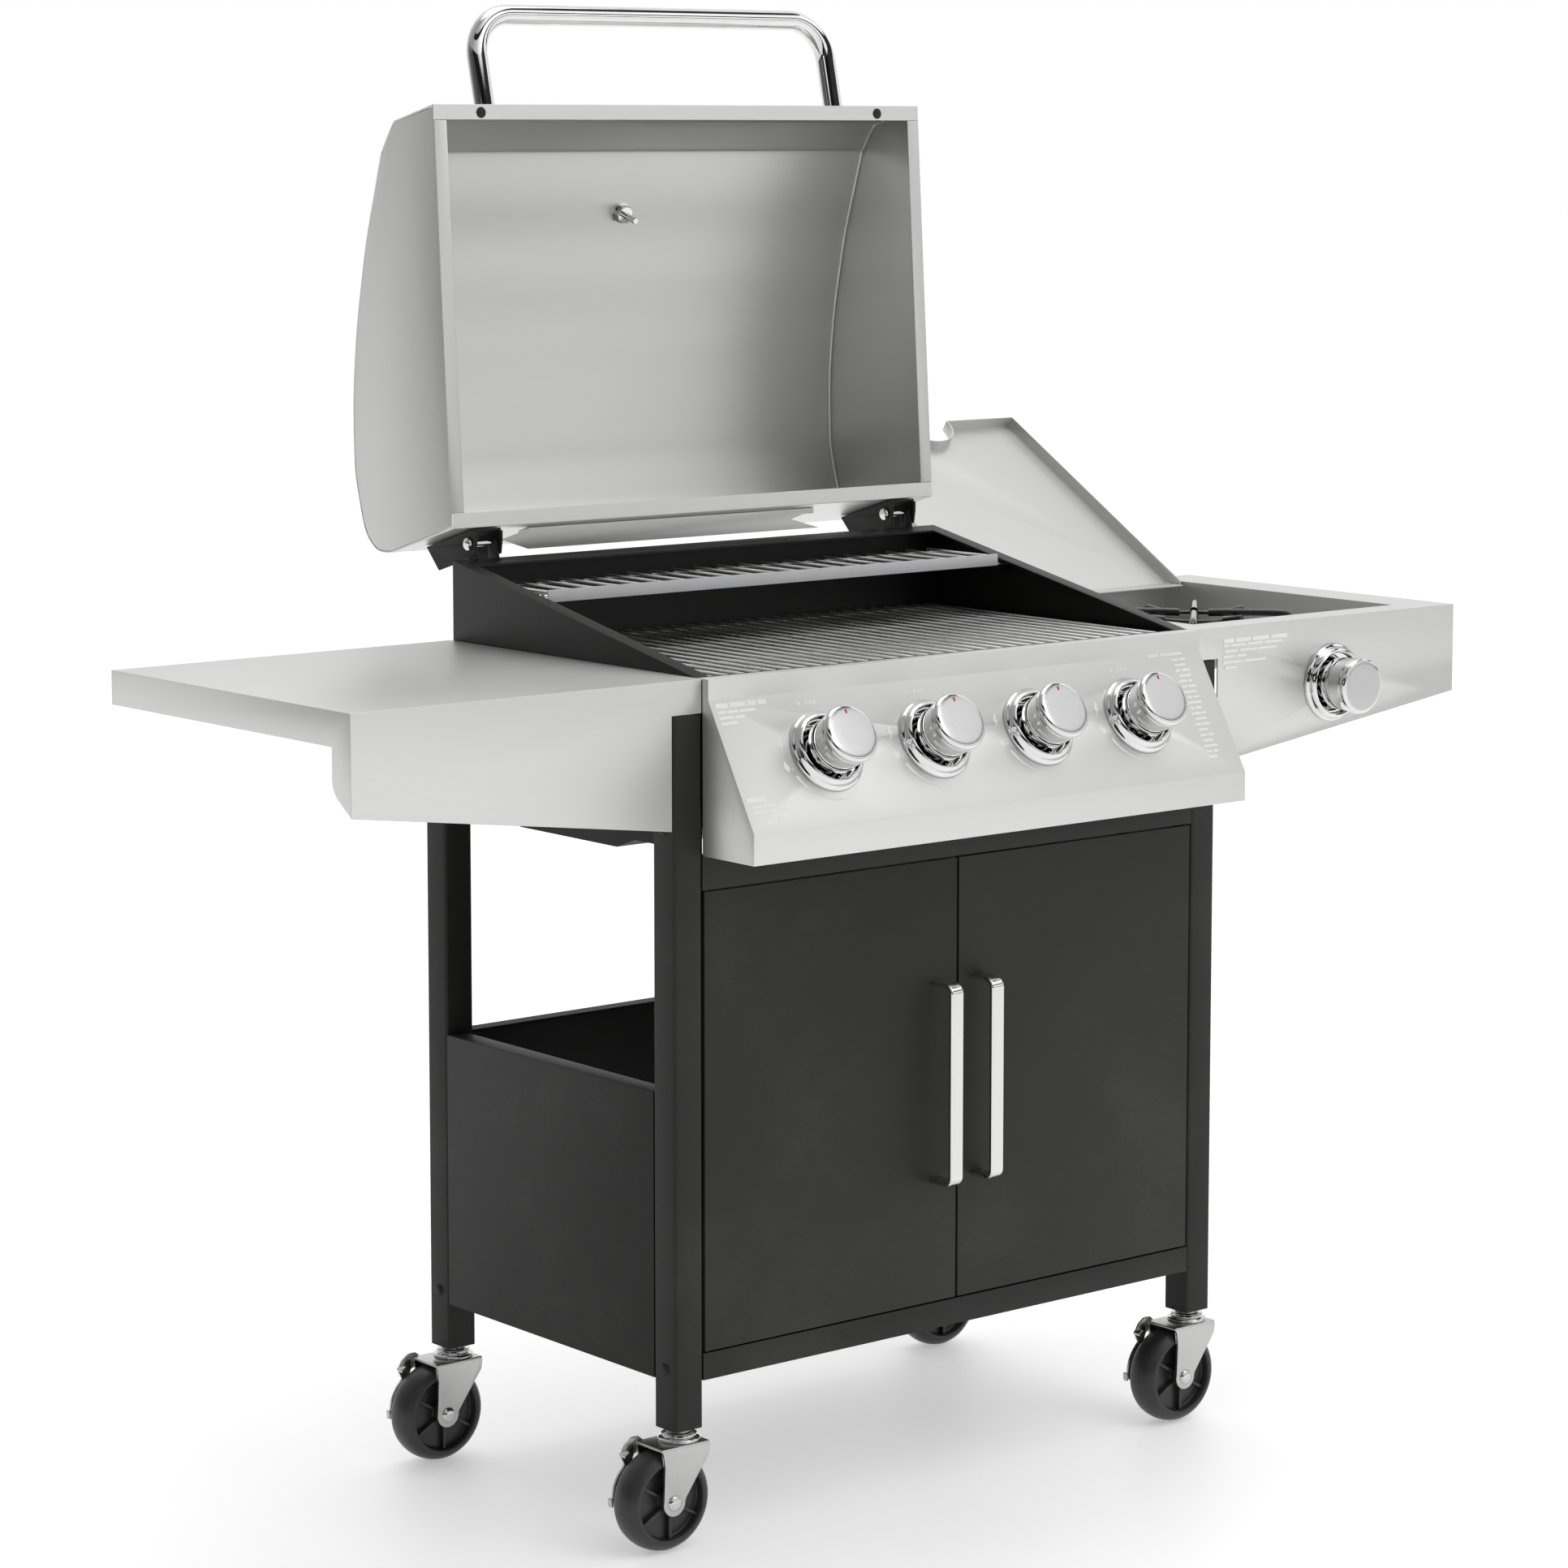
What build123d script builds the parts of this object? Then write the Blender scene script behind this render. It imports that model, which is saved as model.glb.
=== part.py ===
from build123d import *
from math import sin, cos, tan, radians, degrees, atan2, hypot
import os

os.makedirs("parts", exist_ok=True)

# ---------------------------------------------------------------- driving dimensions (mm)
# Working frame: X = 0 on the centre line, Y = 0 on the front faces of the legs,
# Z = 0 on the side shelves' top.  YO and ZO place that frame in the part's own frame.
YO = -249.77               # front faces of the legs
ZO = 749.0                 # side shelf top above the ground
LEG = 30.0                 # square leg tube
LEG_X = 318.0              # outer face of the legs
DEPTH = 366.0              # cart depth over the legs
LEG_BOT = -645.1           # lower end of the legs
SHELF_X = 641.0            # outer end of the side shelves
BODY_X = 287.6             # firebox half width
LID_X = 287.0              # lid half width
SHEET = 1.5                # sheet metal thickness
HINGE_Y, HINGE_Z = 373.0, 85.0        # main lid hinge axis
RIM_TOP = (388.7, 480.9)              # lid rim, upper edge (lid open)
RIM_BOT = (364.7, 100.3)              # lid rim, lower edge (lid open)
KNOB_X = (-182.7, -60.9, 60.9, 182.7) # control knobs
KNOB_Y, KNOB_Z = -36.6, -67.2         # knob centres on the sloping panel
SIDE_X, SIDE_Z = 472.0, -63.0         # side burner knob
BURNER_Z = -72.0
WHEEL_R = 44.5
TRAIL = 19.5               # castor trail
AXLE_Z = -ZO + WHEEL_R
CASTORS = {"front_left": (-303.0, 15.0), "front_right": (303.0, 15.0),
           "rear_left": (-303.0, 351.0), "rear_right": (303.0, 351.0)}
SBX, SBY = 454.0, 168.0    # side burner centre
SL_Y, SL_Z = 328.5, -4.2   # side burner lid hinge axis
FIT = 0.05                 # running clearance, radial


# ---------------------------------------------------------------- helpers
def at(p):
    return Vector(p[0], p[1] + YO, p[2] + ZO)


def slab(x0, x1, y0, y1, z0, z1, mode=Mode.ADD):
    with BuildSketch(Plane.XY.offset(z0 + ZO)) as s:
        with Locations(((x0 + x1) / 2, (y0 + y1) / 2 + YO)):
            Rectangle(x1 - x0, y1 - y0)
    extrude(s.sketch, amount=z1 - z0, mode=mode)


def prism_x(pts, x0, x1, mode=Mode.ADD):
    with BuildSketch(Plane(origin=(x0, YO, ZO), x_dir=(0, 1, 0), z_dir=(1, 0, 0))) as s:
        Polygon(*pts, align=None)
    extrude(s.sketch, amount=x1 - x0, mode=mode)


def prism_y(pts, y0, y1, mode=Mode.ADD):
    with BuildSketch(Plane(origin=(0, y1 + YO, ZO), x_dir=(1, 0, 0), z_dir=(0, -1, 0))) as s:
        Polygon(*pts, align=None)
    extrude(s.sketch, amount=y1 - y0, mode=mode)


def prism_z(pts, z0, z1, mode=Mode.ADD):
    with BuildSketch(Plane.XY.offset(z0 + ZO)) as s:
        Polygon(*[(p[0], p[1] + YO) for p in pts], align=None)
    extrude(s.sketch, amount=z1 - z0, mode=mode)


def rod(p, q, r, mode=Mode.ADD, hole=None):
    a, b = at(p), at(q)
    with BuildSketch(Plane(origin=a, z_dir=(b - a).normalized())) as s:
        Circle(r)
        if hole:
            Circle(hole, mode=Mode.SUBTRACT)
    extrude(s.sketch, amount=(b - a).length, mode=mode)


def cone(p, q, r0, r1, mode=Mode.ADD):
    a, b = at(p), at(q)
    n = (b - a).normalized()
    with BuildSketch(Plane(origin=a, z_dir=n)) as s0:
        Circle(r0)
    with BuildSketch(Plane(origin=b, z_dir=n)) as s1:
        Circle(r1)
    loft([s0.sketch.face(), s1.sketch.face()], mode=mode)


def band(pts, t):
    """closed polygon: an open polyline and its copy at distance t on the left side"""
    out = []
    n = len(pts)
    for i in range(n):
        if i == 0:
            d0 = d1 = (pts[1][0] - pts[0][0], pts[1][1] - pts[0][1])
        elif i == n - 1:
            d0 = d1 = (pts[-1][0] - pts[-2][0], pts[-1][1] - pts[-2][1])
        else:
            d0 = (pts[i][0] - pts[i - 1][0], pts[i][1] - pts[i - 1][1])
            d1 = (pts[i + 1][0] - pts[i][0], pts[i + 1][1] - pts[i][1])
        l0, l1 = hypot(*d0), hypot(*d1)
        n0, n1 = (-d0[1] / l0, d0[0] / l0), (-d1[1] / l1, d1[0] / l1)
        k = 1 + n0[0] * n1[0] + n0[1] * n1[1]
        out.append((pts[i][0] + t * (n0[0] + n1[0]) / k, pts[i][1] + t * (n0[1] + n1[1]) / k))
    return list(pts) + out[::-1]


def turn(p, c, deg):
    a = radians(deg)
    y, z = p[0] - c[0], p[1] - c[1]
    return (c[0] + y * cos(a) - z * sin(a), c[1] + y * sin(a) + z * cos(a))


def save(name, part):
    part.label = name
    export_step(part, "parts/" + name + ".step")


# ================================================================ cart frame
with BuildPart() as legs:
    for sx in (-1, 1):
        for y0 in (0.0, DEPTH - LEG):
            xa, xb = sorted((sx * LEG_X, sx * (LEG_X - LEG)))
            slab(xa, xb, y0, y0 + LEG, LEG_BOT, -30.5)
            slab(xa + 1.6, xb - 1.6, y0 + 1.6, y0 + LEG - 1.6, LEG_BOT - 1, -32.1, Mode.SUBTRACT)
save("legs", legs.part)

with BuildPart() as caster_sockets:
    for cx, cy in CASTORS.values():
        slab(cx - 13.2, cx + 13.2, cy - 13.2, cy + 13.2, LEG_BOT, LEG_BOT + 26)
        rod((cx, cy, LEG_BOT + 1), (cx, cy, LEG_BOT - 3.4), 11.0)
        rod((cx, cy, LEG_BOT), (cx, cy, -659.9), 6.0)
save("caster_sockets", caster_sockets.part)

with BuildPart() as cart_rails:
    # front rails: open channels, front flush with the legs
    prism_x(band([(14, -151.6), (0, -151.6), (0, -180.3), (14, -180.3)], SHEET), -287.8, 287.8)
    prism_x(band([(22, -581.2), (0, -581.2), (0, -604.4), (14, -604.4)], SHEET), -287.8, 287.8)
    for sx in (-1, 1):
        for z1, z0 in ((-112.0, -141.5), (-581.8, -604.0)):
            xa, xb = sorted((sx * 315.0, sx * 300.0))
            slab(xa, xb, 30.2, 335.8, z0, z1)
            slab(xa + SHEET, xb - SHEET, 30.0, 336.0, z0 + SHEET, z1 - SHEET, Mode.SUBTRACT)
    for z1, z0, y0, y1 in ((-126.5, -147.0, 350.0, 364.0), (-581.8, -604.0, 346.0, 362.0)):
        slab(-287.8, 287.8, y0, y1, z0, z1)
        slab(-288, 288, y0 + SHEET, y1 - SHEET, z0 + SHEET, z1 - SHEET, Mode.SUBTRACT)
    for sx in (-1, 1):     # door pin holes
        rod((sx * 282.3, 4.2, -176), (sx * 282.3, 4.2, -184), 2.5 + FIT, Mode.SUBTRACT)
        rod((sx * 282.3, 4.2, -577), (sx * 282.3, 4.2, -586), 2.5 + FIT, Mode.SUBTRACT)
save("cart_rails", cart_rails.part)

with BuildPart() as side_panels:
    for sx in (-1, 1):
        pts = [(sx * 316.4, -603.0), (sx * 316.4, -355.5), (sx * 299.0, -355.5), (sx * 299.0, -359.5)]
        prism_y(band(pts, -sx * 1.0 * SHEET), 30.3, 335.7)
save("side_panels", side_panels.part)

with BuildPart() as back_panel:
    prism_x(band([(364.2, -603.0), (364.2, -356.0), (348.0, -356.0), (348.0, -360.0)], SHEET), -287.6, 287.6)
save("back_panel", back_panel.part)

with BuildPart() as base_shelf:
    slab(-299.6, 299.6, 22.6, 345.8, -580.2, -578.7)
    for sx in (-1, 1):
        xa, xb = sorted((sx * 299.8, sx * 287.6))
        slab(xa, xb, 22, 30.4, -582, -578, Mode.SUBTRACT)
        slab(xa, xb, 335.6, 346, -582, -578, Mode.SUBTRACT)
    rod((0, 190, -590), (0, 190, -570), 118, Mode.SUBTRACT)      # gas bottle well
    rod((0, 190, -580.2), (0, 190, -572.2), 119.5, hole=118.0)
    rod((0, 190, -580.2), (0, 190, -578.7), 119.5, hole=118.0)
save("base_shelf", base_shelf.part)

# ================================================================ firebox
FB_T = 2.0
def fb_top(y):
    return (y - 10.0) * 72.0 / (363.4 - 10.0)
with BuildPart() as firebox:
    outer = [(8, fb_top(8)), (363.4, 72.0), (363.4, -118), (262, -158), (120, -158), (8, -118)]
    inner = [(8 + FB_T, 5), (361.4, 90), (361.4, -117), (261, -156), (121, -156), (8 + FB_T, -117)]
    prism_x(outer, -BODY_X, BODY_X)
    prism_x(inner, -BODY_X + FB_T, BODY_X - FB_T, Mode.SUBTRACT)
    # inward top flanges
    fl = [(8, fb_top(8)), (363.4, 72.0), (363.4, 70.0), (8, fb_top(8) - 2)]
    for sx in (-1, 1):
        xa, xb = sorted((sx * BODY_X, sx * (BODY_X - 15)))
        prism_x(fl, xa, xb)
    prism_x([(347, fb_top(347)), (363.4, 72.0), (363.4, 69.8), (347, fb_top(347) - 2)], -BODY_X + 1, BODY_X - 1)
    slab(-120, 120, 140, 240, -170, -150, Mode.SUBTRACT)          # grease opening
    for x in KNOB_X:                                              # burner tube holes
        rod((x, 0, BURNER_Z), (x, 14, BURNER_Z), 13.5, Mode.SUBTRACT)
    # ledges for the cooking grate and pegs for the warming rack
    for sx in (-1, 1):
        xa, xb = sorted((sx * (BODY_X - 1), sx * (BODY_X - 8)))
        slab(xa, xb, 12, 358, -14.5, -12.0)
        for y in (252.0, 340.0):
            rod((sx * (BODY_X - 1), y, 39.0), (sx * 270.0, y, 39.0), 3.0)
    # runners for the grease tray
    for sx in (-1, 1):
        xa, xb = sorted((sx * 136.4, sx * 148.5))
        slab(xa, xb, 66, 346, -165.6, -164.2)
        xa, xb = sorted((sx * 147.0, sx * 148.5))
        slab(xa, xb, 122, 260, -165.6, -157.0)
    # resting lugs under the side walls
    for sx in (-1, 1):
        xa, xb = sorted((sx * (BODY_X - 1), sx * (BODY_X - 12)))
        slab(xa, xb, 12, 30, -130, -110)
save("firebox", firebox.part)

with BuildPart() as cooking_grate:
    GX = 276.0
    for y in (16.0, 354.0):
        rod((-GX, y, -9.3), (GX, y, -9.3), 2.6)
    for y in (128.0, 242.0):
        rod((-GX, y, -9.3), (GX, y, -9.3), 2.6)
    n = 32
    for i in range(n):
        x = -GX + 5.5 + i * (2 * GX - 11) / (n - 1)
        rod((x, 14.0, -5.2), (x, 356.0, -5.2), 2.3)
save("cooking_grate", cooking_grate.part)

with BuildPart() as warming_rack:
    slab(-267, 267, 246.0, 247.6, 42.2, 53.4)
    for y in (262.0, 342.0):
        rod((-274, y, 46.0), (274, y, 46.0), 2.4)
    for i in range(21):
        x = -262 + i * 524 / 20
        rod((x, 246.6, 50.2), (x, 344.0, 50.2), 2.2)
    for sx in (-1, 1):
        rod((sx * 267, 246.6, 44.6), (sx * 267, 345.0, 44.6), 2.5)
        slab(min(sx * 264, sx * 280), max(sx * 264, sx * 280), 246.0, 258.0, 42.2, 44.2)
        slab(min(sx * 264, sx * 280), max(sx * 264, sx * 280), 334.0, 346.0, 42.2, 44.2)
save("warming_rack", warming_rack.part)

with BuildPart() as heat_tents:
    for x in KNOB_X:
        prism_y(band([(x - 44, -58), (x - 38, -50), (x, -33), (x + 38, -50), (x + 44, -58)], -1.2), 22, 350)
        # end tabs
        slab(x - 44, x + 44, 22, 23.2, -58, -51)
        slab(x - 44, x + 44, 348.8, 350, -58, -51)
save("heat_tents", heat_tents.part)

with BuildPart() as main_burners:
    for x in KNOB_X:
        rod((x, 3, BURNER_Z), (x, 342, BURNER_Z), 11.5)
        rod((x, 2, BURNER_Z), (x, 340, BURNER_Z), 10.0, Mode.SUBTRACT)
        rod((x, 342, BURNER_Z), (x, 346, BURNER_Z), 11.5)
        slab(x - 9, x + 9, 344, 356, BURNER_Z - 1, BURNER_Z + 1)
        for i in range(12):
            y = 50 + i * 24
            rod((x - 14, y, BURNER_Z + 3), (x + 14, y, BURNER_Z + 3), 1.4, Mode.SUBTRACT)
    # cross-over channel
    slab(-195, 195, 30, 42, BURNER_Z - 15.5, BURNER_Z - 10.5)
save("main_burners", main_burners.part)

# ================================================================ control panel
PT = 1.2
PROFILE = [(6.5, 0), (-8.2, 0), (-8.2, -18), (-69.5, -124.2), (-69.5, -150.7), (-0.2, -150.7)]
sl = hypot(61.3, 106.2)
NY, NZ = -106.2 / sl, 61.3 / sl        # outward normal of the sloping face
def on_knob(x, d):
    return (x, KNOB_Y + NY * d, KNOB_Z + NZ * d)
with BuildPart() as control_panel:
    prism_x(band(PROFILE, PT), -287.8, 287.8)
    ends = [(-0.2, -1), (-7.4, -1), (-7.4, -18.3), (-68.6, -124.4), (-68.6, -150), (-0.2, -150)]
    for sx in (-1, 1):
        xa, xb = sorted((sx * 287.8, sx * 286.6))
        prism_x(ends, xa, xb)
    for x in KNOB_X:
        rod(on_knob(x, -6), on_knob(x, 6), 8.0, Mode.SUBTRACT)
save("control_panel", control_panel.part)

with BuildPart() as gas_manifold:
    # main tube under the valves
    rod((-262, -14, -118), (262, -14, -118), 8.0)
    rod((-270, -14, -118), (-262, -14, -118), 9.5)
    rod((262, -14, -118), (272, -14, -118), 9.5)
    # inlet elbow, union nut and hose tail, pointing down into the cabinet
    rod((240, -14, -118), (240, -14, -142), 6.5)
    rod((240, -18, -141), (240, 50, -141), 6.5)
    rod((240, 44, -141), (240, 44, -152), 6.5)
    rod((240, 44, -150), (240, 44, -160), 8.5)
    rod((240, 44, -160), (240, 44, -186), 5.0)
    # gas way
    rod((-266, -14, -118), (268, -14, -118), 6.2, Mode.SUBTRACT)
    rod((240, -14, -118), (240, -14, -141), 4.0, Mode.SUBTRACT)
    rod((240, -14, -141), (240, 44, -141), 4.0, Mode.SUBTRACT)
    rod((240, 44, -141), (240, 44, -190), 2.8, Mode.SUBTRACT)
save("gas_manifold", gas_manifold.part)

with BuildPart() as gas_valves:
    for x in KNOB_X:
        rod(on_knob(x, -3.5), on_knob(x, -38), 10.0)
        p = on_knob(x, -24)
        rod(p, (x, -14, -112), 6.0)
        q = on_knob(x, -34)
        rod((x, q[1], BURNER_Z - 6), (x, 1.5, BURNER_Z), 4.0)
        rod(on_knob(x, -2), on_knob(x, -29), 4.5 + FIT, Mode.SUBTRACT)
        rod(on_knob(x, -2), on_knob(x, -8), 7.5, Mode.SUBTRACT)
        rod((x - 20, -14, -118), (x + 20, -14, -118), 8.05, Mode.SUBTRACT)
    # side burner valve behind the right apron
    rod((SIDE_X, 4.0, SIDE_Z), (SIDE_X, 40.0, SIDE_Z), 10.0)
    rod((SIDE_X, 39.0, SIDE_Z + 4), (SIDE_X, 48.0, SIDE_Z + 4), 3.0)
    slab(SIDE_X - 16, SIDE_X + 16, 4.0, 6.0, SIDE_Z - 11, SIDE_Z + 11)
    rod((SIDE_X, 2.0, SIDE_Z), (SIDE_X, 29.5, SIDE_Z), 4.5 + FIT, Mode.SUBTRACT)
    rod((SIDE_X, 2.0, SIDE_Z), (SIDE_X, 8.5, SIDE_Z), 7.5, Mode.SUBTRACT)
    rod((SIDE_X, 20.0, SIDE_Z - 8), (SIDE_X, 20.0, SIDE_Z - 20), 4.0)
save("gas_valves", gas_valves.part)

# bezels, one per knob
with BuildPart() as knob_bezels:
    for x in KNOB_X:
        rod(on_knob(x, 0.2), on_knob(x, 3.2), 37.0)
        cone(on_knob(x, 3.2), on_knob(x, 10.0), 37.0, 30.5)
        rod(on_knob(x, 3.0), on_knob(x, 13.0), 29.4, Mode.SUBTRACT)
        rod(on_knob(x, -1), on_knob(x, 13.0), 8.0, Mode.SUBTRACT)
    def side(d):
        return (SIDE_X, -d, SIDE_Z)
    rod(side(0.2), side(3.2), 37.0)
    cone(side(3.2), side(10.0), 37.0, 30.5)
    rod(side(3.0), side(13.0), 29.4, Mode.SUBTRACT)
    rod(side(-1), side(13.0), 8.0, Mode.SUBTRACT)
save("knob_bezels", knob_bezels.part)

def stem_and_knob(f):
    """valve stem, and the knob on it; f(d) gives the point at distance d out of the panel"""
    with BuildPart() as stem:
        rod(f(-24.0), f(16.0), 4.5)
        rod(f(16.0), f(33.0), 3.0)
        rod(f(-3.2), f(-2.4), 7.0)
    with BuildPart() as knob:
        rod(f(9.0), f(17.5), 24.5)
        cone(f(17.5), f(36.0), 25.2, 26.4)
        cone(f(36.0), f(41.5), 26.8, 25.0)
        rod(f(8.0), f(33.4), 21.5, Mode.SUBTRACT)
        rod(f(14.0), f(36.0), 8.0)
        rod(f(13.0), f(16.4), 4.5 + FIT, Mode.SUBTRACT)
        rod(f(13.0), f(33.4), 3.0 + FIT, Mode.SUBTRACT)
    return stem, knob

for i, x in enumerate(KNOB_X):
    stem, knob = stem_and_knob(lambda d, x=x: on_knob(x, d))
    save("valve_stem_%d" % (i + 1), stem.part)
    save("knob_%d" % (i + 1), knob.part)
stem, knob = stem_and_knob(side)
save("valve_stem_side", stem.part)
save("knob_side", knob.part)

# ================================================================ side shelves
def shelf(sx):
    def sl2(x0, x1, *a, **k):
        xa, xb = sorted((sx * x0, sx * x1))
        slab(xa, xb, *a, **k)
    sl2(288.4, SHELF_X, 0, DEPTH, -1.2, 0)
    sl2(SHELF_X - 1.2, SHELF_X, 0, DEPTH, -29.7, 0)
    sl2(288.4, SHELF_X, DEPTH - 1.2, DEPTH, -29.7, 0)
    sl2(288.4, 289.6, 8, DEPTH, -29.7, 0)
    prism_y([(sx * 288.4, 0), (sx * SHELF_X, 0), (sx * SHELF_X, -84.3), (sx * 320.0, -127.0),
             (sx * 320.0, -29.2), (sx * 288.4, -29.2)], 0, 1.2)
    pts = [(0, -29), (27.4, -29), (27.4, -56), (26.4, -62), (23.6, -67), (19, -71.4), (0, -84.3)]
    xa, xb = sorted((sx * SHELF_X, sx * (SHELF_X - 1.2)))
    prism_x(pts, xa, xb)

with BuildPart() as left_shelf:
    shelf(-1)
save("left_shelf", left_shelf.part)

RX0, RX1, RY0, RY1, RZ = 318.5, 590.0, 31.0, 347.0, -38.0
with BuildPart() as right_shelf:
    shelf(1)
    slab(RX0, RX1, RY0, RY1, RZ - 1.2, 0.0)
    slab(RX0 + 1.2, RX1 - 1.2, RY0 + 1.2, RY1 - 1.2, RZ, 1.0, Mode.SUBTRACT)
    slab(RX0 + 6, RX1 + 4, DEPTH - 20, DEPTH - 1.2, -0.1, 0.0)
    rod((SBX, SBY, RZ - 2), (SBX, SBY, RZ + 2), 34.0, Mode.SUBTRACT)
    rod((SIDE_X, -1, SIDE_Z), (SIDE_X, 3, SIDE_Z), 8.0, Mode.SUBTRACT)
    # hinge lugs at the rear of the well
    for xa, xb in ((RX0 + 1.1, RX0 + 2.3), (RX1 - 2.3, RX1 - 1.1)):
        slab(xa, xb, SL_Y - 6, RY1 - 1, SL_Z - 6, -0.2)
    rod((RX0 - 2, SL_Y, SL_Z), (RX0 + 4, SL_Y, SL_Z), 2.0, Mode.SUBTRACT)
    rod((RX1 - 4, SL_Y, SL_Z), (RX1 + 2, SL_Y, SL_Z), 2.0, Mode.SUBTRACT)
save("right_shelf", right_shelf.part)

with BuildPart() as side_lid_pins:
    rod((RX0 - 1.4, SL_Y, SL_Z), (RX0 + 6.2, SL_Y, SL_Z), 2.0)
    rod((RX0 - 2.2, SL_Y, SL_Z), (RX0 - 0.1, SL_Y, SL_Z), 2.9)
    rod((RX1 - 6.2, SL_Y, SL_Z), (RX1 + 1.4, SL_Y, SL_Z), 2.0)
    rod((RX1 + 0.1, SL_Y, SL_Z), (RX1 + 2.2, SL_Y, SL_Z), 2.9)
save("side_lid_pins", side_lid_pins.part)

# side burner lid, drawn closed and turned to its open rest position
SL_OPEN = -149.0
LX0, LX1 = RX0 + 4.2, RX1 - 4.2
def sp(y, z):
    return turn((y, z), (SL_Y, SL_Z), SL_OPEN)
def quad(y0, y1, z0, z1):
    return [sp(y0, z0), sp(y1, z0), sp(y1, z1), sp(y0, z1)]
with BuildPart() as side_burner_lid:
    prism_x(quad(32.4, 320.0, -1.0, 0.2), LX0, LX1)
    prism_x(quad(32.4, 33.6, -12.2, 0.2), LX0, LX1)
    prism_x([sp(320.0, 0.2), sp(341.4, -12.2), sp(340.8, -13.2), sp(319.6, -1.0)], LX0 + 3.2, LX1 - 3.2)
    side_prof = [sp(32.4, 0.0), sp(32.4, -12.2), sp(331.0, -12.2), sp(335.0, -8.5), sp(334.0, -1.0), sp(329, 0.0)]
    prism_x(side_prof, LX0, LX0 + 1.2)
    prism_x(side_prof, LX1 - 1.2, LX1)
    # finger notch with its own turned-down edge
    def notch(r, z0, z1, mode):
        a, b = sp(32.4, z0), sp(32.4, z1)
        rod((458.0, a[0], a[1]), (458.0, b[0], b[1]), r, mode)
    notch(36.0, -12.2, 0.2, Mode.ADD)
    notch(34.8, -14.0, 2.0, Mode.SUBTRACT)
    # everything of the notch collar that lies in front of the lid goes
    prism_x(quad(-20.0, 32.4, -20.0, 8.0), 400, 516, Mode.SUBTRACT)
    for xa, xb in ((LX0 - 1, LX0 + 2), (LX1 - 2, LX1 + 1)):
        rod((xa, SL_Y, SL_Z), (xb, SL_Y, SL_Z), 2.0 + FIT, Mode.SUBTRACT)
save("side_burner_lid", side_burner_lid.part)

with BuildPart() as side_burner:
    rod((SBX, SBY, -62), (SBX, SBY, -27), 30.0)
    rod((SBX, SBY, -27.0), (SBX, SBY, -25), 33.0)
    rod((SIDE_X, 50.0, -54), (SIDE_X, 64.0, -54), 12.5)
    rod((SIDE_X, 63.0, -54), (SBX + 8, SBY - 18, -54), 7.5)
    rod((SBX, SBY, -58.5), (SBX, SBY, -24), 25.5, Mode.SUBTRACT)
    rod((SBX, SBY, -36.8), (SBX, SBY, -35.2), 40.0, hole=29.0)
    rod((SIDE_X, 48.0, -54), (SIDE_X, 60.0, -54), 10.0, Mode.SUBTRACT)
save("side_burner", side_burner.part)

with BuildPart() as side_burner_cap:
    cone((SBX, SBY, -24.8), (SBX, SBY, -21.0), 28.5, 29.5)
    cone((SBX, SBY, -21.0), (SBX, SBY, -17.0), 29.5, 26.0)
    rod((SBX, SBY, -30), (SBX, SBY, -24.8), 24.0)
save("side_burner_cap", side_burner_cap.part)

with BuildPart() as side_burner_grate:
    rod((SBX, SBY, -16.2), (SBX, SBY, -12.0), 44.0, hole=39.0)
    for k in range(4):
        a = radians(45 + 90 * k)
        c, s = cos(a), sin(a)
        def pt(r, z):
            return (SBX + r * c, SBY + r * s, z)
        rod(pt(14, -9.5), pt(92, -9.5), 3.2)
        rod(pt(92, -9.5), pt(106, -36.0), 3.2)
        rod(pt(106, -38.0), pt(106, -34.0), 4.2)
    for k in range(4):
        a = radians(90 * k)
        rod((SBX + 41 * cos(a), SBY + 41 * sin(a), -13.0), (SBX + 66 * cos(a), SBY + 66 * sin(a), -9.5), 3.0)
save("side_burner_grate", side_burner_grate.part)

# ================================================================ grease tray
with BuildPart() as grease_tray:
    slab(-135, 135, 60, 352, -176, -162)
    slab(-133.8, 133.8, 61.2, 350.8, -174.8, -160, Mode.SUBTRACT)
    for sx in (-1, 1):
        xa, xb = sorted((sx * 134.2, sx * 145.0))
        slab(xa, xb, 60, 352, -163.2, -162)
    slab(-40, 40, 351, 366, -170, -168.8)
    slab(-40, 40, 364.8, 366, -176, -168.8)
    rod((0, 200, -180), (0, 200, -170), 9.0, Mode.SUBTRACT)
save("grease_tray", grease_tray.part)

with BuildPart() as grease_cup:
    # hangs in two hooks under the tray
    cone((0, 200, -214), (0, 200, -182), 27.0, 34.0)
    cone((0, 200, -212.8), (0, 200, -181.9), 25.8, 32.8, Mode.SUBTRACT)
    for sx in (-1, 1):
        prism_y([(sx * 31.6, -190), (sx * 34.6, -190), (sx * 38.6, -177.4), (sx * 38.6, -176.1), (sx * 30, -176.1),
                 (sx * 30, -177.4), (sx * 37.2, -177.4), (sx * 31.9, -187)], 192, 208)
save("grease_cup", grease_cup.part)

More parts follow.
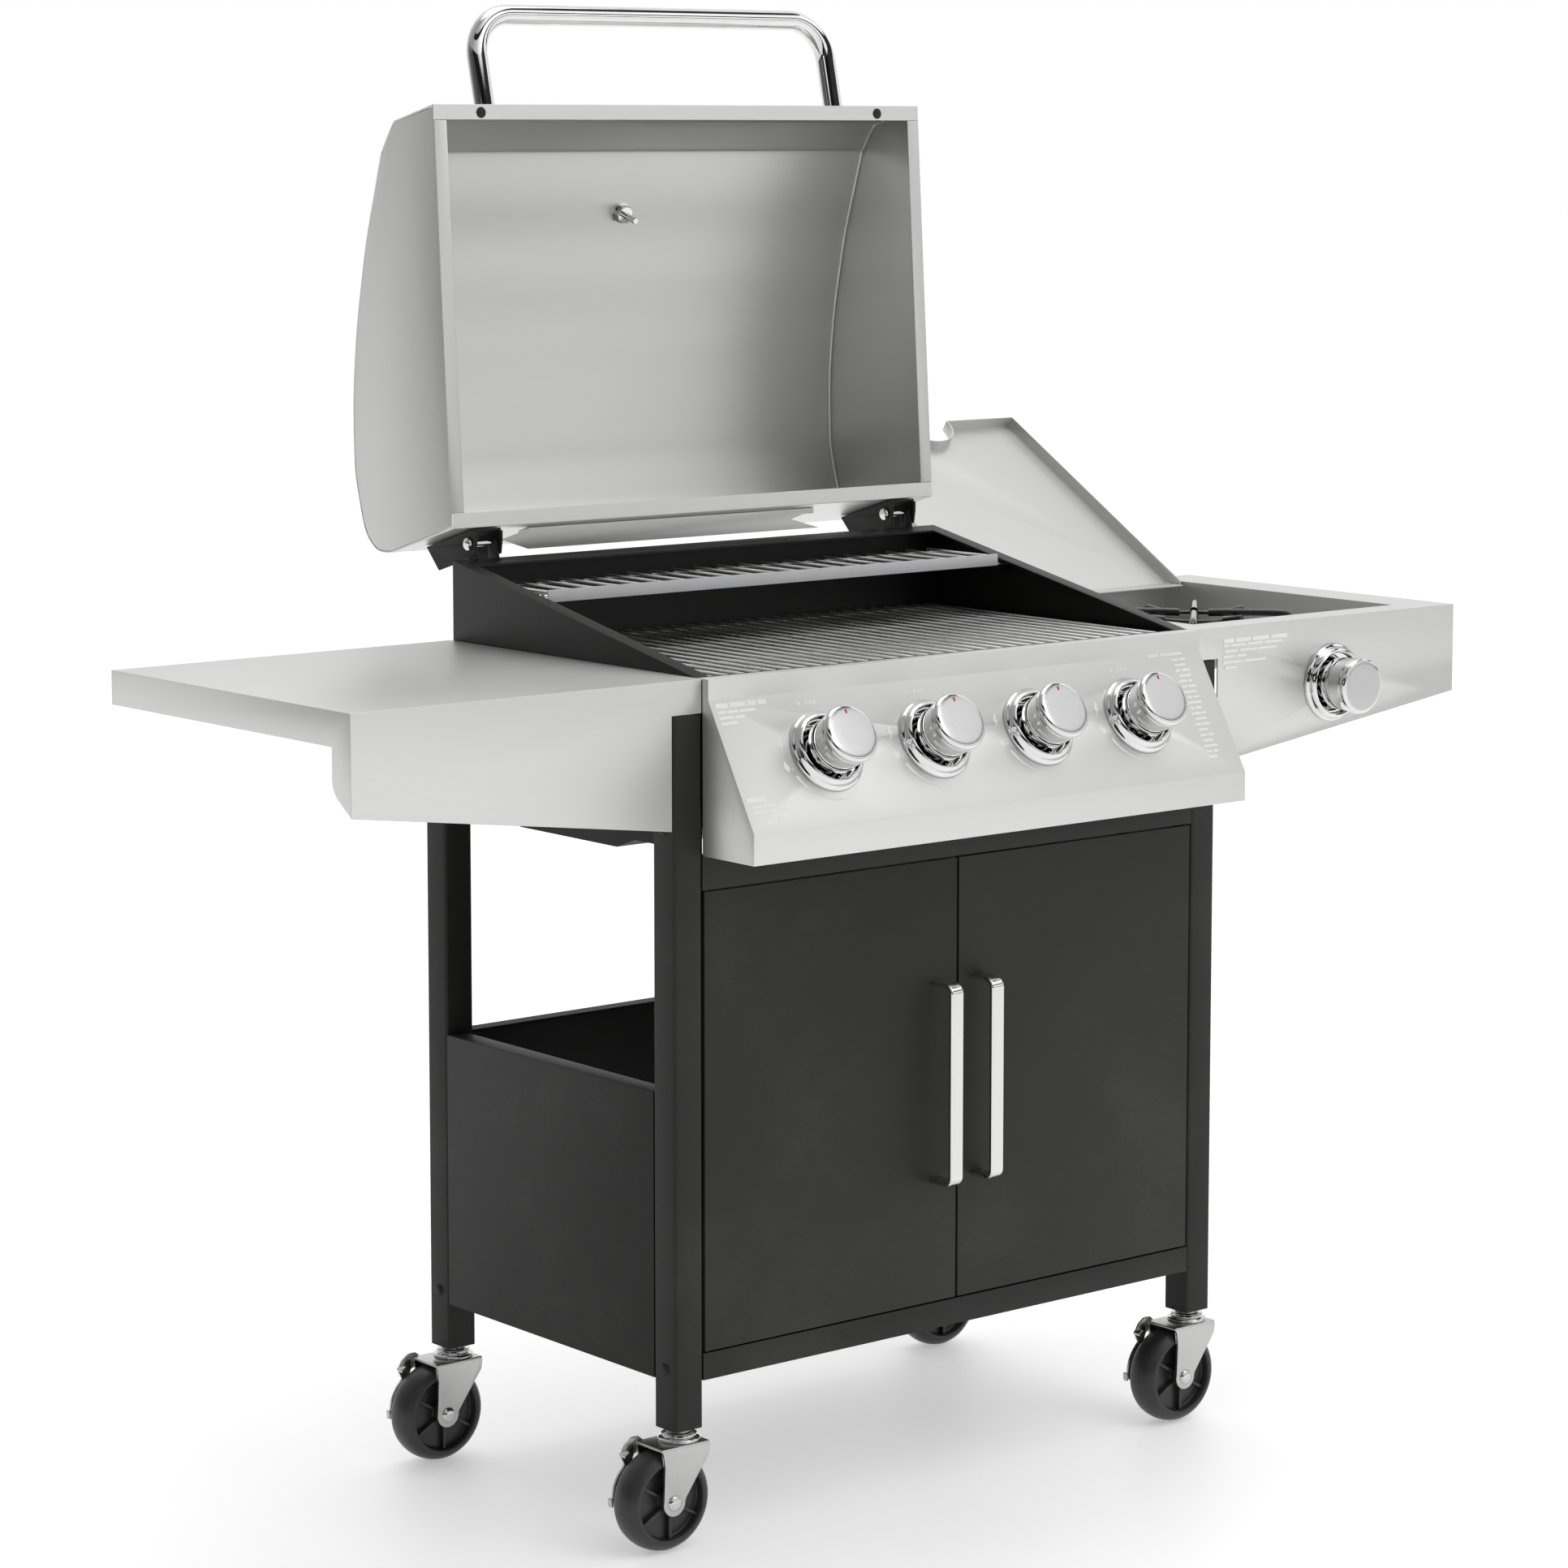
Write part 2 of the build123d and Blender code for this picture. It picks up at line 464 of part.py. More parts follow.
# ================================================================ main lid (open)
LID_OUT = [(388.7, 480.9), (451.3, 466.1), (460.7, 454.7), (470.2, 440.9), (474.2, 433.3), (485.6, 398.0),
           (498.7, 356.7), (508.2, 315.0), (515.1, 279.8), (519.3, 248.0), (522.0, 218.3), (522.7, 187.7),
           (522.1, 163.0), (520.6, 141.9), (515.1, 119.3), (508.2, 96.9), (501.4, 84.4), (491.9, 76.0),
           (483.7, 72.1), (472.9, 71.1), (460.7, 72.4), (364.7, 100.3)]
rl = hypot(RIM_TOP[0] - RIM_BOT[0], RIM_TOP[1] - RIM_BOT[1])
RU = ((RIM_TOP[0] - RIM_BOT[0]) / rl, (RIM_TOP[1] - RIM_BOT[1]) / rl)   # along the rim, upwards
RN = (RU[1], -RU[0])                                                     # into the lid
LT = 1.5
LIP = 14.0
with BuildPart() as lid_shell:
    prism_x(band(LID_OUT, -LT), -LID_X, LID_X)
    for e, s in ((RIM_TOP, -1), (RIM_BOT, 1)):
        a = e
        b = (e[0] + s * LIP * RU[0], e[1] + s * LIP * RU[1])
        prism_x([a, b, (b[0] + LT * RN[0], b[1] + LT * RN[1]), (a[0] + LT * RN[0], a[1] + LT * RN[1])], -LID_X, LID_X)
    # thermometer hole
    rod((0, 470, 372.4), (0, 520, 388.4), 6.0, Mode.SUBTRACT)
save("lid_shell", lid_shell.part)

with BuildPart() as lid_end_panels:
    inner = band(LID_OUT, -(LT + 0.1))[len(LID_OUT):]
    # pull the two ends of the outline in behind the lips
    a = (RIM_TOP[0] + (LT + 0.1) * RN[0] - 3.0 * RU[0], RIM_TOP[1] + (LT + 0.1) * RN[1] - 3.0 * RU[1])
    b = (RIM_BOT[0] + (LT + 0.1) * RN[0] + 3.0 * RU[0], RIM_BOT[1] + (LT + 0.1) * RN[1] + 3.0 * RU[1])
    inner = [b] + inner[1:-1] + [a]
    for sx in (-1, 1):
        xa, xb = sorted((sx * LID_X, sx * (LID_X - LT)))
        prism_x(inner, xa, xb)
        xa, xb = sorted((sx * LID_X, sx * (LID_X - LIP)))
        p = (RIM_TOP[0] - (LIP + 0.2) * RU[0], RIM_TOP[1] - (LIP + 0.2) * RU[1])
        q = (RIM_BOT[0] + (LIP + 0.2) * RU[0], RIM_BOT[1] + (LIP + 0.2) * RU[1])
        prism_x([p, q, (q[0] + LT * RN[0], q[1] + LT * RN[1]), (p[0] + LT * RN[0], p[1] + LT * RN[1])], xa, xb)
save("lid_end_panels", lid_end_panels.part)

HN = (0.2289, 0.9734)          # outward normal of the lid's front wall
HY, HZ = 421.0, 473.26         # post feet on that wall
def hp(x, d):
    return (x, HY + HN[0] * d, HZ + HN[1] * d)
with BuildPart() as lid_handle:
    with BuildLine() as path:
        FilletPolyline(at(hp(-207, 0.3)), at(hp(-207, 92)), at(hp(207, 92)), at(hp(207, 0.3)), radius=40)
    with BuildSketch(Plane(origin=at(hp(-207, 0.3)), z_dir=(0, HN[0], HN[1]))) as s:
        Circle(9.6)
        Circle(8.2, mode=Mode.SUBTRACT)
    sweep(s.sketch, path=path.line)
save("lid_handle", lid_handle.part)

TN = (0.9526, 0.3043)
def tp(d):
    return (0.0, 491.5 + TN[0] * d, 379.3 + TN[1] * d)
with BuildPart() as lid_thermometer:
    rod(tp(0.3), tp(10.0), 37.0)
    cone(tp(10.0), tp(14.0), 37.0, 34.0)
    rod(tp(11.5), tp(15.0), 31.0, Mode.SUBTRACT)
    rod(tp(12.6), tp(13.4), 31.2)
    rod(tp(-26.0), tp(1.0), 3.2)
    rod(tp(-9.0), tp(-2.2), 8.0)
save("lid_thermometer", lid_thermometer.part)

# lid halves of the two hinges: a channel under the lid's rear wall, cheeks down
WD = (-0.9602, 0.2791)          # along the rear wall towards the rim
with BuildPart() as lid_hinge_brackets:
    for cx in (-248.0, 248.0):
        cheek = [(363.9, 75.6), (362.0, 88.0), (362.0, 99.6), (440.0, 77.0), (421.0, 57.4), (392.0, 66.0)]
        for xa in (cx - 15.0, cx + 13.0):
            prism_x(cheek, xa, xa + 2.0)
        base = [(362.4, 99.9), (439.6, 77.5), (438.8, 75.6), (362.4, 97.8)]
        prism_x(base, cx - 15.0, cx + 15.0)
        keep_out = [turn(p, (HINGE_Y, HINGE_Z), -104.6) for p in ((330, 50), (364.4, 50), (364.4, 74.2), (330, 67.2))]
        prism_x(keep_out, cx - 20.0, cx + 20.0, Mode.SUBTRACT)
        rod((cx - 17, HINGE_Y, HINGE_Z), (cx + 17, HINGE_Y, HINGE_Z), 3.0 + FIT, Mode.SUBTRACT)
save("lid_hinge_brackets", lid_hinge_brackets.part)

with BuildPart() as firebox_hinge_brackets:
    for cx in (-248.0, 248.0):
        ear = [(363.6, 40.0), (363.6, 73.0), (368.0, 88.5), (373.0, 90.5), (378.0, 88.5), (380.0, 83.0), (378.0, 55.0), (370.0, 40.0)]
        for xa in (cx - 12.4, cx + 10.4):
            prism_x(ear, xa, xa + 2.0)
        slab(cx - 12.4, cx + 12.4, 363.6, 365.6, 20.0, 70.0)
        rod((cx - 14, HINGE_Y, HINGE_Z), (cx + 14, HINGE_Y, HINGE_Z), 3.0, Mode.SUBTRACT)
save("firebox_hinge_brackets", firebox_hinge_brackets.part)

with BuildPart() as lid_hinge_pins:
    for cx in (-248.0, 248.0):
        rod((cx - 16.4, HINGE_Y, HINGE_Z), (cx + 16.4, HINGE_Y, HINGE_Z), 3.0)
        rod((cx - 19.0, HINGE_Y, HINGE_Z), (cx - 15.4, HINGE_Y, HINGE_Z), 6.0)
        rod((cx + 15.4, HINGE_Y, HINGE_Z), (cx + 18.0, HINGE_Y, HINGE_Z), 5.0)
save("lid_hinge_pins", lid_hinge_pins.part)

with BuildPart() as rear_heat_shield:
    # strip between the hinges, screwed to the lid's rear wall, pointed at its left end
    prism_y([(-221, 85.8), (-191, 93.5), (150, 93.5), (121, 85.7), (156, 75.7), (-191, 75.7)], 381.0, 382.2)
    prism_x([(381.0, 95.2), (398.0, 90.3), (397.7, 89.1), (382.2, 93.6), (382.2, 90.0), (381.0, 90.0)], -190, 149)
save("rear_heat_shield", rear_heat_shield.part)

# ================================================================ doors
def door(sx):
    x_in, x_out = 1.3, 285.8
    def ds(x0, x1, *a, **k):
        xa, xb = sorted((sx * x0, sx * x1))
        slab(xa, xb, *a, **k)
    ds(x_in, x_out, 0.0, 1.2, -579.6, -181.9)
    ds(x_in, x_in + 1.2, 0.0, 14.0, -579.6, -181.9)
    ds(x_out - 1.2, x_out, 0.6, 12.0, -579.6, -181.9)
    ds(x_in, x_out, 0.4, 12.0, -183.1, -181.9)
    ds(x_in, x_out, 0.4, 12.0, -579.6, -578.4)
    rod((sx * 282.3, 4.2, -183), (sx * 282.3, 4.2, -178.9), 2.5)
    rod((sx * 282.3, 4.2, -579), (sx * 282.3, 4.2, -583.5), 2.5)

for name, sx in (("left_door", -1), ("right_door", 1)):
    with BuildPart() as d:
        door(sx)
    save(name, d.part)

for name, sx in (("left_door_handle", -1), ("right_door_handle", 1)):
    with BuildPart() as h:
        x = sx * 24.0
        # flat strip bent back to the door at both ends
        strip = []
        for r, d in ((10.0, 0.0), (5.5, 4.5)):
            arc = [(-0.2, -288.6 - d)]
            for k in range(9):
                t = radians(90 * k / 8)
                arc.append((-28.0 + d + r - r * sin(t), -288.6 - d - r + r * cos(t)))
            low = [(y, -760.6 - z) for y, z in arc[::-1]]
            strip.append(arc + low)
        prism_x(strip[0] + strip[1][::-1], x - 7.2, x + 7.2)
    save(name, h.part)

# ================================================================ castors
def castor(cx, cy):
    """swivel fork, wheel and brake lever; the trail points to -X"""
    ax = cx - TRAIL
    with BuildPart() as fork:
        rod((cx, cy, -656.2), (cx, cy, -649.0), 18.5)
        slab(ax - 14, cx + 19, cy - 19.5, cy + 19.5, -658.7, -656.0)
        for ya, yb in ((cy - 19.5, cy - 17.0), (cy + 17.0, cy + 19.5)):
            pts = [(cx + 19, -656.5), (cx + 18, -668), (ax + 11.5, AXLE_Z - 2), (ax + 9, AXLE_Z - 8.5), (ax, AXLE_Z - 11.8),
                   (ax - 9, AXLE_Z - 8.5), (ax - 11.8, AXLE_Z), (ax - 9.5, -668), (ax - 9.5, -656.5)]
            prism_y(pts, ya, yb)
        rod((ax, cy - 22.0, AXLE_Z), (ax, cy + 22.0, AXLE_Z), 4.0)
        rod((ax, cy - 22.5, AXLE_Z), (ax, cy - 19.0, AXLE_Z), 7.0)
        rod((ax, cy + 19.0, AXLE_Z), (ax, cy + 22.5, AXLE_Z), 7.0)
        rod((ax - 10, cy + 19.0, -659.5), (ax - 10, cy + 24.4, -659.5), 2.5)     # brake pivot
        rod((cx, cy, -662), (cx, cy, -640), 6.0 + FIT, Mode.SUBTRACT)
    with BuildPart() as wheel:
        prof = [(4.0 + FIT, -16.4), (9, -16.4), (9, -8), (32.8, -8), (32.8, -15.0), (36.6, -16.0), (41.0, -12.5),
                (43.5, -7.0), (44.5, 0), (43.5, 7.0), (41.0, 12.5), (36.6, 16.0), (32.8, 15.0), (32.8, 8), (9, 8), (9, 16.4), (4.0 + FIT, 16.4)]
        with BuildSketch(Plane(origin=at((ax, cy, AXLE_Z)), x_dir=(1, 0, 0), z_dir=(0, 0, 1))) as s:
            Polygon(*prof, align=None)
        revolve(s.sketch, axis=Axis(at((ax, cy, AXLE_Z)), (0, 1, 0)), revolution_arc=360)
        for k in range(6):
            a = radians(30 + 60 * k)
            c, s_ = cos(a), sin(a)
            q = [(ax + 8 * c - 1.3 * s_, AXLE_Z + 8 * s_ + 1.3 * c), (ax + 33.3 * c - 1.3 * s_, AXLE_Z + 33.3 * s_ + 1.3 * c),
                 (ax + 33.3 * c + 1.3 * s_, AXLE_Z + 33.3 * s_ - 1.3 * c), (ax + 8 * c + 1.3 * s_, AXLE_Z + 8 * s_ - 1.3 * c)]
            prism_y(q, cy - 14.0, cy - 7.5)
            prism_y(q, cy + 7.5, cy + 14.0)
    with BuildPart() as lever:
        bx, bz = ax - 10.0, -659.5
        def polar(r, deg):
            return (ax + r * cos(radians(deg)), AXLE_Z + r * sin(radians(deg)))
        arm = [(bx + 6, bz - 5), (bx + 6, bz + 3), (bx + 2, bz + 6.5), (bx - 6, bz + 6), (bx - 13, bz + 1), (bx - 17, bz - 6)]
        arm += [polar(36.5, a) for a in (128, 144, 156, 168, 180, 190)] + [polar(31.0, a) for a in (190, 180, 168, 156, 144, 132, 122)]
        arm += [(bx - 4, bz - 8)]
        prism_y(arm, cy + 20.2, cy + 22.4)
        # foot pad folded outwards at the low end, brake shoe folded in over the tread
        prism_y([polar(37.8, 178), polar(37.8, 190), polar(35.6, 190), polar(35.6, 178)], cy + 20.2, cy + 26.0)
        prism_y([polar(45.2, 119), polar(45.2, 127), polar(48.2, 126), polar(48.2, 119)], cy + 14.0, cy + 22.4)
        prism_y([polar(35.0, 130), polar(48.4, 126), polar(48.4, 119), polar(35.0, 122)], cy + 20.2, cy + 22.4)
        rod((bx, cy + 18.0, bz), (bx, cy + 25.0, bz), 2.5 + FIT, Mode.SUBTRACT)
    return fork, wheel, lever

for name, (cx, cy) in CASTORS.items():
    fork, wheel, lever = castor(cx, cy)
    save("caster_fork_" + name, fork.part)
    save("wheel_" + name, wheel.part)
    save("brake_lever_" + name, lever.part)

# ================================================================ fasteners
with BuildPart() as fasteners:
    for sx in (-1, 1):
        for y in (15.0, 351.0):
            for z in (-127.0, -592.5):
                rod((sx * 318.0, y, z), (sx * 320.4, y, z), 5.0)
    for sx in (-1, 1):
        for z in (-127.0, -592.5):
            rod((sx * 303.0, DEPTH, z), (sx * 303.0, DEPTH + 2.4, z), 5.0)
save("fasteners", fasteners.part)
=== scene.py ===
import math
import bpy
import bmesh
from mathutils import Matrix, Vector


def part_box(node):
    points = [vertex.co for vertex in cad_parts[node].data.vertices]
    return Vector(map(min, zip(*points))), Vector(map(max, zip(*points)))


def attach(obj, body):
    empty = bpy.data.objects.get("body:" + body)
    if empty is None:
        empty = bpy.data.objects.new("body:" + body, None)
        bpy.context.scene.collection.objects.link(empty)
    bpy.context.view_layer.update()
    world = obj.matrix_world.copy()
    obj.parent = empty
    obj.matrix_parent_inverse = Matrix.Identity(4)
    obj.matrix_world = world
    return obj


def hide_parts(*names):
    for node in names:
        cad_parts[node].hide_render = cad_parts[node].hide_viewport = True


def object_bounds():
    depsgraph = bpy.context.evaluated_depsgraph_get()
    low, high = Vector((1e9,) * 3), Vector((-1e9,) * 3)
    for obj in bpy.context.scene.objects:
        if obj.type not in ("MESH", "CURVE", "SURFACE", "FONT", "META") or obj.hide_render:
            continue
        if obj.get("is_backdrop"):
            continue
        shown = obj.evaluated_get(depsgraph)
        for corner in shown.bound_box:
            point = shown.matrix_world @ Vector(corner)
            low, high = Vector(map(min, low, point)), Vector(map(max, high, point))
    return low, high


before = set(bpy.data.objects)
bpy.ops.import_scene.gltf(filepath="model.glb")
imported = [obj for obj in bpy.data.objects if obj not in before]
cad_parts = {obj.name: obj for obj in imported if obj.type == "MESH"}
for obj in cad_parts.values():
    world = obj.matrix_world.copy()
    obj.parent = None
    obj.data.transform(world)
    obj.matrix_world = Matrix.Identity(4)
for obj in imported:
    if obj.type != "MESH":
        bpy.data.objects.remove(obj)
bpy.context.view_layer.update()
scene = bpy.context.scene

# ------------------------------------------------------------------ local frame of the cart, in mm
# X = 0 centre line, Y = 0 front faces of the legs, Z = 0 top of the side shelves
LEG_LO, LEG_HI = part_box("legs")
YO = LEG_LO.y
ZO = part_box("left_shelf")[1].z


def W(x, y, z):
    return Vector((x / 1000, y / 1000 + YO, z / 1000 + ZO))


# ------------------------------------------------------------------ materials
def new_mat(name):
    m = bpy.data.materials.new(name)
    m.use_nodes = True
    nt = m.node_tree
    return m, nt, nt.nodes["Principled BSDF"]


def ramp(nt, fac, stops):
    r = nt.nodes.new("ShaderNodeValToRGB")
    while len(r.color_ramp.elements) < len(stops):
        r.color_ramp.elements.new(0.5)
    for e, (p, c) in zip(r.color_ramp.elements, stops):
        e.position = p
        e.color = c if len(c) == 4 else (*c, 1)
    nt.links.new(fac, r.inputs["Fac"])
    return r.outputs["Color"]


def noise(nt, vec, scale, detail=3.0, rough=0.5, stretch=None):
    if stretch is not None:
        mp = nt.nodes.new("ShaderNodeMapping")
        mp.inputs["Scale"].default_value = stretch
        nt.links.new(vec, mp.inputs["Vector"])
        vec = mp.outputs["Vector"]
    n = nt.nodes.new("ShaderNodeTexNoise")
    n.inputs["Scale"].default_value = scale
    n.inputs["Detail"].default_value = detail
    n.inputs["Roughness"].default_value = rough
    nt.links.new(vec, n.inputs["Vector"])
    return n.outputs["Fac"]


def coord(nt):
    return nt.nodes.new("ShaderNodeTexCoord").outputs["Object"]


def bump(nt, height, strength, distance, bsdf, prev=None):
    b = nt.nodes.new("ShaderNodeBump")
    b.inputs["Strength"].default_value = strength
    b.inputs["Distance"].default_value = distance
    nt.links.new(height, b.inputs["Height"])
    if prev is not None:
        nt.links.new(prev, b.inputs["Normal"])
    nt.links.new(b.outputs["Normal"], bsdf.inputs["Normal"])
    return b.outputs["Normal"]


def grey(v, t=(1, 1, 0.985)):
    return (v * t[0], v * t[1], v * t[2], 1)


def brushed(name, v, rough, direction, contrast=0.08, tint=(1, 1, 0.982), spread=0.09):
    """metal with a fine directional grain, a cloudy unevenness and faint handling marks"""
    m, nt, b = new_mat(name)
    c = coord(nt)
    st = [260.0, 260.0, 260.0]
    st["XYZ".index(direction)] = 3.0
    grain = noise(nt, c, 6.0, 6.0, 0.62, st)
    cloud = noise(nt, c, 5.0, 4.0, 0.55)
    mix = nt.nodes.new("ShaderNodeMath")
    mix.operation = "MULTIPLY_ADD"
    nt.links.new(cloud, mix.inputs[0])
    mix.inputs[1].default_value = 0.45
    nt.links.new(grain, mix.inputs[2])
    nt.links.new(ramp(nt, mix.outputs[0], [(0.42, grey(v * (1 - contrast), tint)), (1.0, grey(v * (1 + contrast), tint))]),
                 b.inputs["Base Color"])
    nt.links.new(ramp(nt, mix.outputs[0], [(0.42, grey(rough - spread / 2)), (1.0, grey(rough + spread / 2))]), b.inputs["Roughness"])
    b.inputs["Metallic"].default_value = 1.0
    bump(nt, grain, 0.10, 0.0002, b)
    return m


def powder(name, v=0.036, rough=0.46, tint=(1, 0.995, 0.965)):
    """fine orange-peel powder coat with a few lighter specks and dusty clouds"""
    m, nt, b = new_mat(name)
    c = coord(nt)
    peel = noise(nt, c, 900.0, 3.0, 0.55)
    fine = noise(nt, c, 2600.0, 2.0, 0.6)
    cloud = noise(nt, c, 7.0, 5.0, 0.6)
    a = nt.nodes.new("ShaderNodeMath")
    a.operation = "MULTIPLY_ADD"
    nt.links.new(fine, a.inputs[0])
    a.inputs[1].default_value = 0.6
    nt.links.new(cloud, a.inputs[2])
    nt.links.new(ramp(nt, a.outputs[0], [(0.5, grey(v * 0.82, tint)), (0.86, grey(v * 1.06, tint)), (1.0, grey(v * 1.7, tint))]),
                 b.inputs["Base Color"])
    nt.links.new(ramp(nt, peel, [(0.3, grey(rough - 0.07)), (0.7, grey(rough + 0.08))]), b.inputs["Roughness"])
    b.inputs["Specular IOR Level"].default_value = 0.30
    n = bump(nt, peel, 0.22, 0.00035, b)
    bump(nt, fine, 0.12, 0.0001, b, n)
    return m


def polished(name, v=0.86, rough=0.055, tint=(1, 1, 1.0)):
    m, nt, b = new_mat(name)
    c = coord(nt)
    smear = noise(nt, c, 38.0, 4.0, 0.6)
    tiny = noise(nt, c, 700.0, 2.0, 0.5)
    nt.links.new(ramp(nt, smear, [(0.35, grey(v * 0.96, tint)), (0.7, grey(v * 1.03, tint))]), b.inputs["Base Color"])
    nt.links.new(ramp(nt, smear, [(0.35, grey(rough * 0.6)), (0.75, grey(rough * 1.7))]), b.inputs["Roughness"])
    b.inputs["Metallic"].default_value = 1.0
    bump(nt, tiny, 0.02, 0.0001, b)
    return m


def dull_metal(name, v, rough, tint=(1, 1, 0.97), scale=60.0, bumpy=0.15, contrast=0.15):
    m, nt, b = new_mat(name)
    c = coord(nt)
    n1 = noise(nt, c, scale, 5.0, 0.6)
    n2 = noise(nt, c, scale * 14, 3.0, 0.5)
    nt.links.new(ramp(nt, n1, [(0.3, grey(v * (1 - contrast), tint)), (0.7, grey(v * (1 + contrast), tint))]), b.inputs["Base Color"])
    nt.links.new(ramp(nt, n1, [(0.3, grey(rough - 0.06)), (0.7, grey(rough + 0.08))]), b.inputs["Roughness"])
    b.inputs["Metallic"].default_value = 1.0
    bump(nt, n2, bumpy, 0.0002, b)
    return m


def paint(name, col, rough, bumpy=0.05, scale=400.0, vary=0.12, spec=0.5, coat=0.0):
    m, nt, b = new_mat(name)
    c = coord(nt)
    n1 = noise(nt, c, 30.0, 4.0, 0.6)
    n2 = noise(nt, c, scale, 3.0, 0.5)
    lo = tuple(x * (1 - vary) for x in col)
    hi = tuple(min(1, x * (1 + vary)) for x in col)
    nt.links.new(ramp(nt, n1, [(0.3, lo), (0.7, hi)]), b.inputs["Base Color"])
    nt.links.new(ramp(nt, n2, [(0.3, grey(max(0.02, rough - 0.05))), (0.7, grey(rough + 0.06))]), b.inputs["Roughness"])
    b.inputs["Specular IOR Level"].default_value = spec
    b.inputs["Coat Weight"].default_value = coat
    bump(nt, n2, bumpy, 0.0002, b)
    return m


STEEL_X = brushed("steel_brushed_x", 0.66, 0.46, "X", 0.03, (1, 1, 0.975))
STEEL_PANEL = brushed("steel_panel_x", 0.70, 0.50, "X", 0.02, (1, 1, 0.975))
STEEL_Z = brushed("steel_brushed_z", 0.70, 0.30, "Z", 0.05)
LID_STEEL = brushed("lid_steel", 0.69, 0.42, "X", 0.025, (1, 1, 0.975))
LID_END = brushed("lid_end_steel", 0.60, 0.44, "Z", 0.025, (1, 1, 0.975))
KNOB_FACE = brushed("knob_face", 0.52, 0.26, "X", 0.05, (1, 1, 1), 0.08)
POWDER = powder("powder_black", 0.016, 0.55, (1, 1, 0.955))
FIRE = powder("firebox_black", 0.006, 0.46)
DOOR = powder("door_powder", 0.016, 0.52, (1, 1, 0.92))
CHROME = polished("chrome", 0.72, 0.045)
CHROME_DARK = polished("chrome_dark", 0.62, 0.08)
WIRE = dull_metal("grate_wire", 0.78, 0.28, (1, 1, 0.98), 12.0, 0.02, 0.06)
WIRE_BRIGHT = dull_metal("rack_wire", 0.86, 0.30, (1, 1, 1.0), 12.0, 0.02, 0.04)
RACK_STRIP = paint("rack_strip_satin", (0.66, 0.66, 0.68), 0.35, 0.04, 900.0, 0.03, 0.6)
ZINC = dull_metal("zinc_plate", 0.52, 0.27, (1, 1, 0.985), 25.0, 0.015, 0.06)
GALV = dull_metal("galvanised", 0.52, 0.40, (1, 1, 0.99), 120.0, 0.12, 0.16)
# burners and heat tents: heat-tinted steel whose colour is darkened further to paint the shade under the cooking grate
# (painted shade)
BURNER_PAINTED_SHADE = dull_metal("burner_steel_painted_shade", 0.07, 0.42, (1, 0.97, 0.92), 50.0, 0.15, 0.18)
CAST = dull_metal("cast_aluminium", 0.46, 0.48, (1, 1, 0.98), 150.0, 0.4, 0.12)
BRASS = dull_metal("valve_brass", 0.62, 0.34, (1, 0.78, 0.42), 80.0, 0.1, 0.12)
ENAMEL = paint("black_enamel", (0.008, 0.008, 0.008), 0.16, 0.12, 260.0, 0.25, 0.5, 0.3)
PLASTIC = paint("wheel_plastic", (0.026, 0.026, 0.026), 0.38, 0.10, 700.0, 0.18)
RUBBER = paint("bumper_rubber", (0.012, 0.012, 0.012), 0.62, 0.15, 900.0, 0.2, 0.35)
PRINT = paint("print_white", (0.88, 0.88, 0.87), 0.5, 0.03, 900.0, 0.03)
RED = paint("mark_red", (0.55, 0.015, 0.012), 0.4, 0.03, 900.0, 0.06)
DIAL = paint("dial_face", (0.78, 0.78, 0.76), 0.35, 0.02, 900.0, 0.02)
INK = paint("dial_ink", (0.01, 0.01, 0.01), 0.45, 0.02, 900.0, 0.1)


# ------------------------------------------------------------------ mesh helpers
def add_obj(name, me, mat, body, smooth=40.0):
    o = bpy.data.objects.new(name, me)
    scene.collection.objects.link(o)
    for m in (mat if isinstance(mat, (list, tuple)) else [mat]):
        me.materials.append(m)
    if smooth is not None:
        for p in me.polygons:
            p.use_smooth = True
        me.set_sharp_from_angle(angle=math.radians(smooth))
    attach(o, body)
    return o


def bm_obj(name, bm, mat, body, smooth=40.0):
    bmesh.ops.recalc_face_normals(bm, faces=bm.faces)
    me = bpy.data.meshes.new(name)
    bm.to_mesh(me)
    bm.free()
    return add_obj(name, me, mat, body, smooth)


def basis(axis):
    w = Vector(axis).normalized()
    h = Vector((1, 0, 0)) if abs(w.x) < 0.9 else Vector((0, 0, 1))
    u = (h - w * h.dot(w)).normalized()
    return u, w.cross(u), w


def lathe(bm, prof, origin, axis, segs=64, mat_fn=None):
    """revolve (radius, height) in mm about an axis through origin (metres)"""
    u, v, w = basis(axis)
    rings = []
    for r, h in prof:
        if r < 1e-6:
            rings.append([bm.verts.new(origin + w * h / 1000)])
        else:
            rings.append([bm.verts.new(origin + w * h / 1000 + (u * math.cos(a) + v * math.sin(a)) * r / 1000)
                          for a in (2 * math.pi * i / segs for i in range(segs))])
    for k in range(len(rings) - 1):
        a, b = rings[k], rings[k + 1]
        for i in range(segs):
            j = (i + 1) % segs
            if len(a) == 1 and len(b) == 1:
                continue
            if len(a) == 1:
                f = bm.faces.new((a[0], b[j], b[i]))
            elif len(b) == 1:
                f = bm.faces.new((a[i], a[j], b[0]))
            else:
                f = bm.faces.new((a[i], a[j], b[j], b[i]))
            if mat_fn:
                f.material_index = mat_fn(k)
    return rings


def close_lathe(bm, rings):
    a, b = rings[-1], rings[0]
    n = len(a)
    for i in range(n):
        j = (i + 1) % n
        bm.faces.new((a[i], a[j], b[j], b[i]))


def tube_rod(bm, p, q, r, segs=12, cap=0.35):
    """round bar with slightly rounded ends; p and q in metres, r in mm"""
    d = q - p
    n = d.length * 1000
    c = r * cap
    prof = [(0, 0), (r - c, 0), (r - 0.3 * c, 0.3 * c), (r, c), (r, n - c), (r - 0.3 * c, n - 0.3 * c), (r - c, n), (0, n)]
    lathe(bm, prof, p, d, segs)


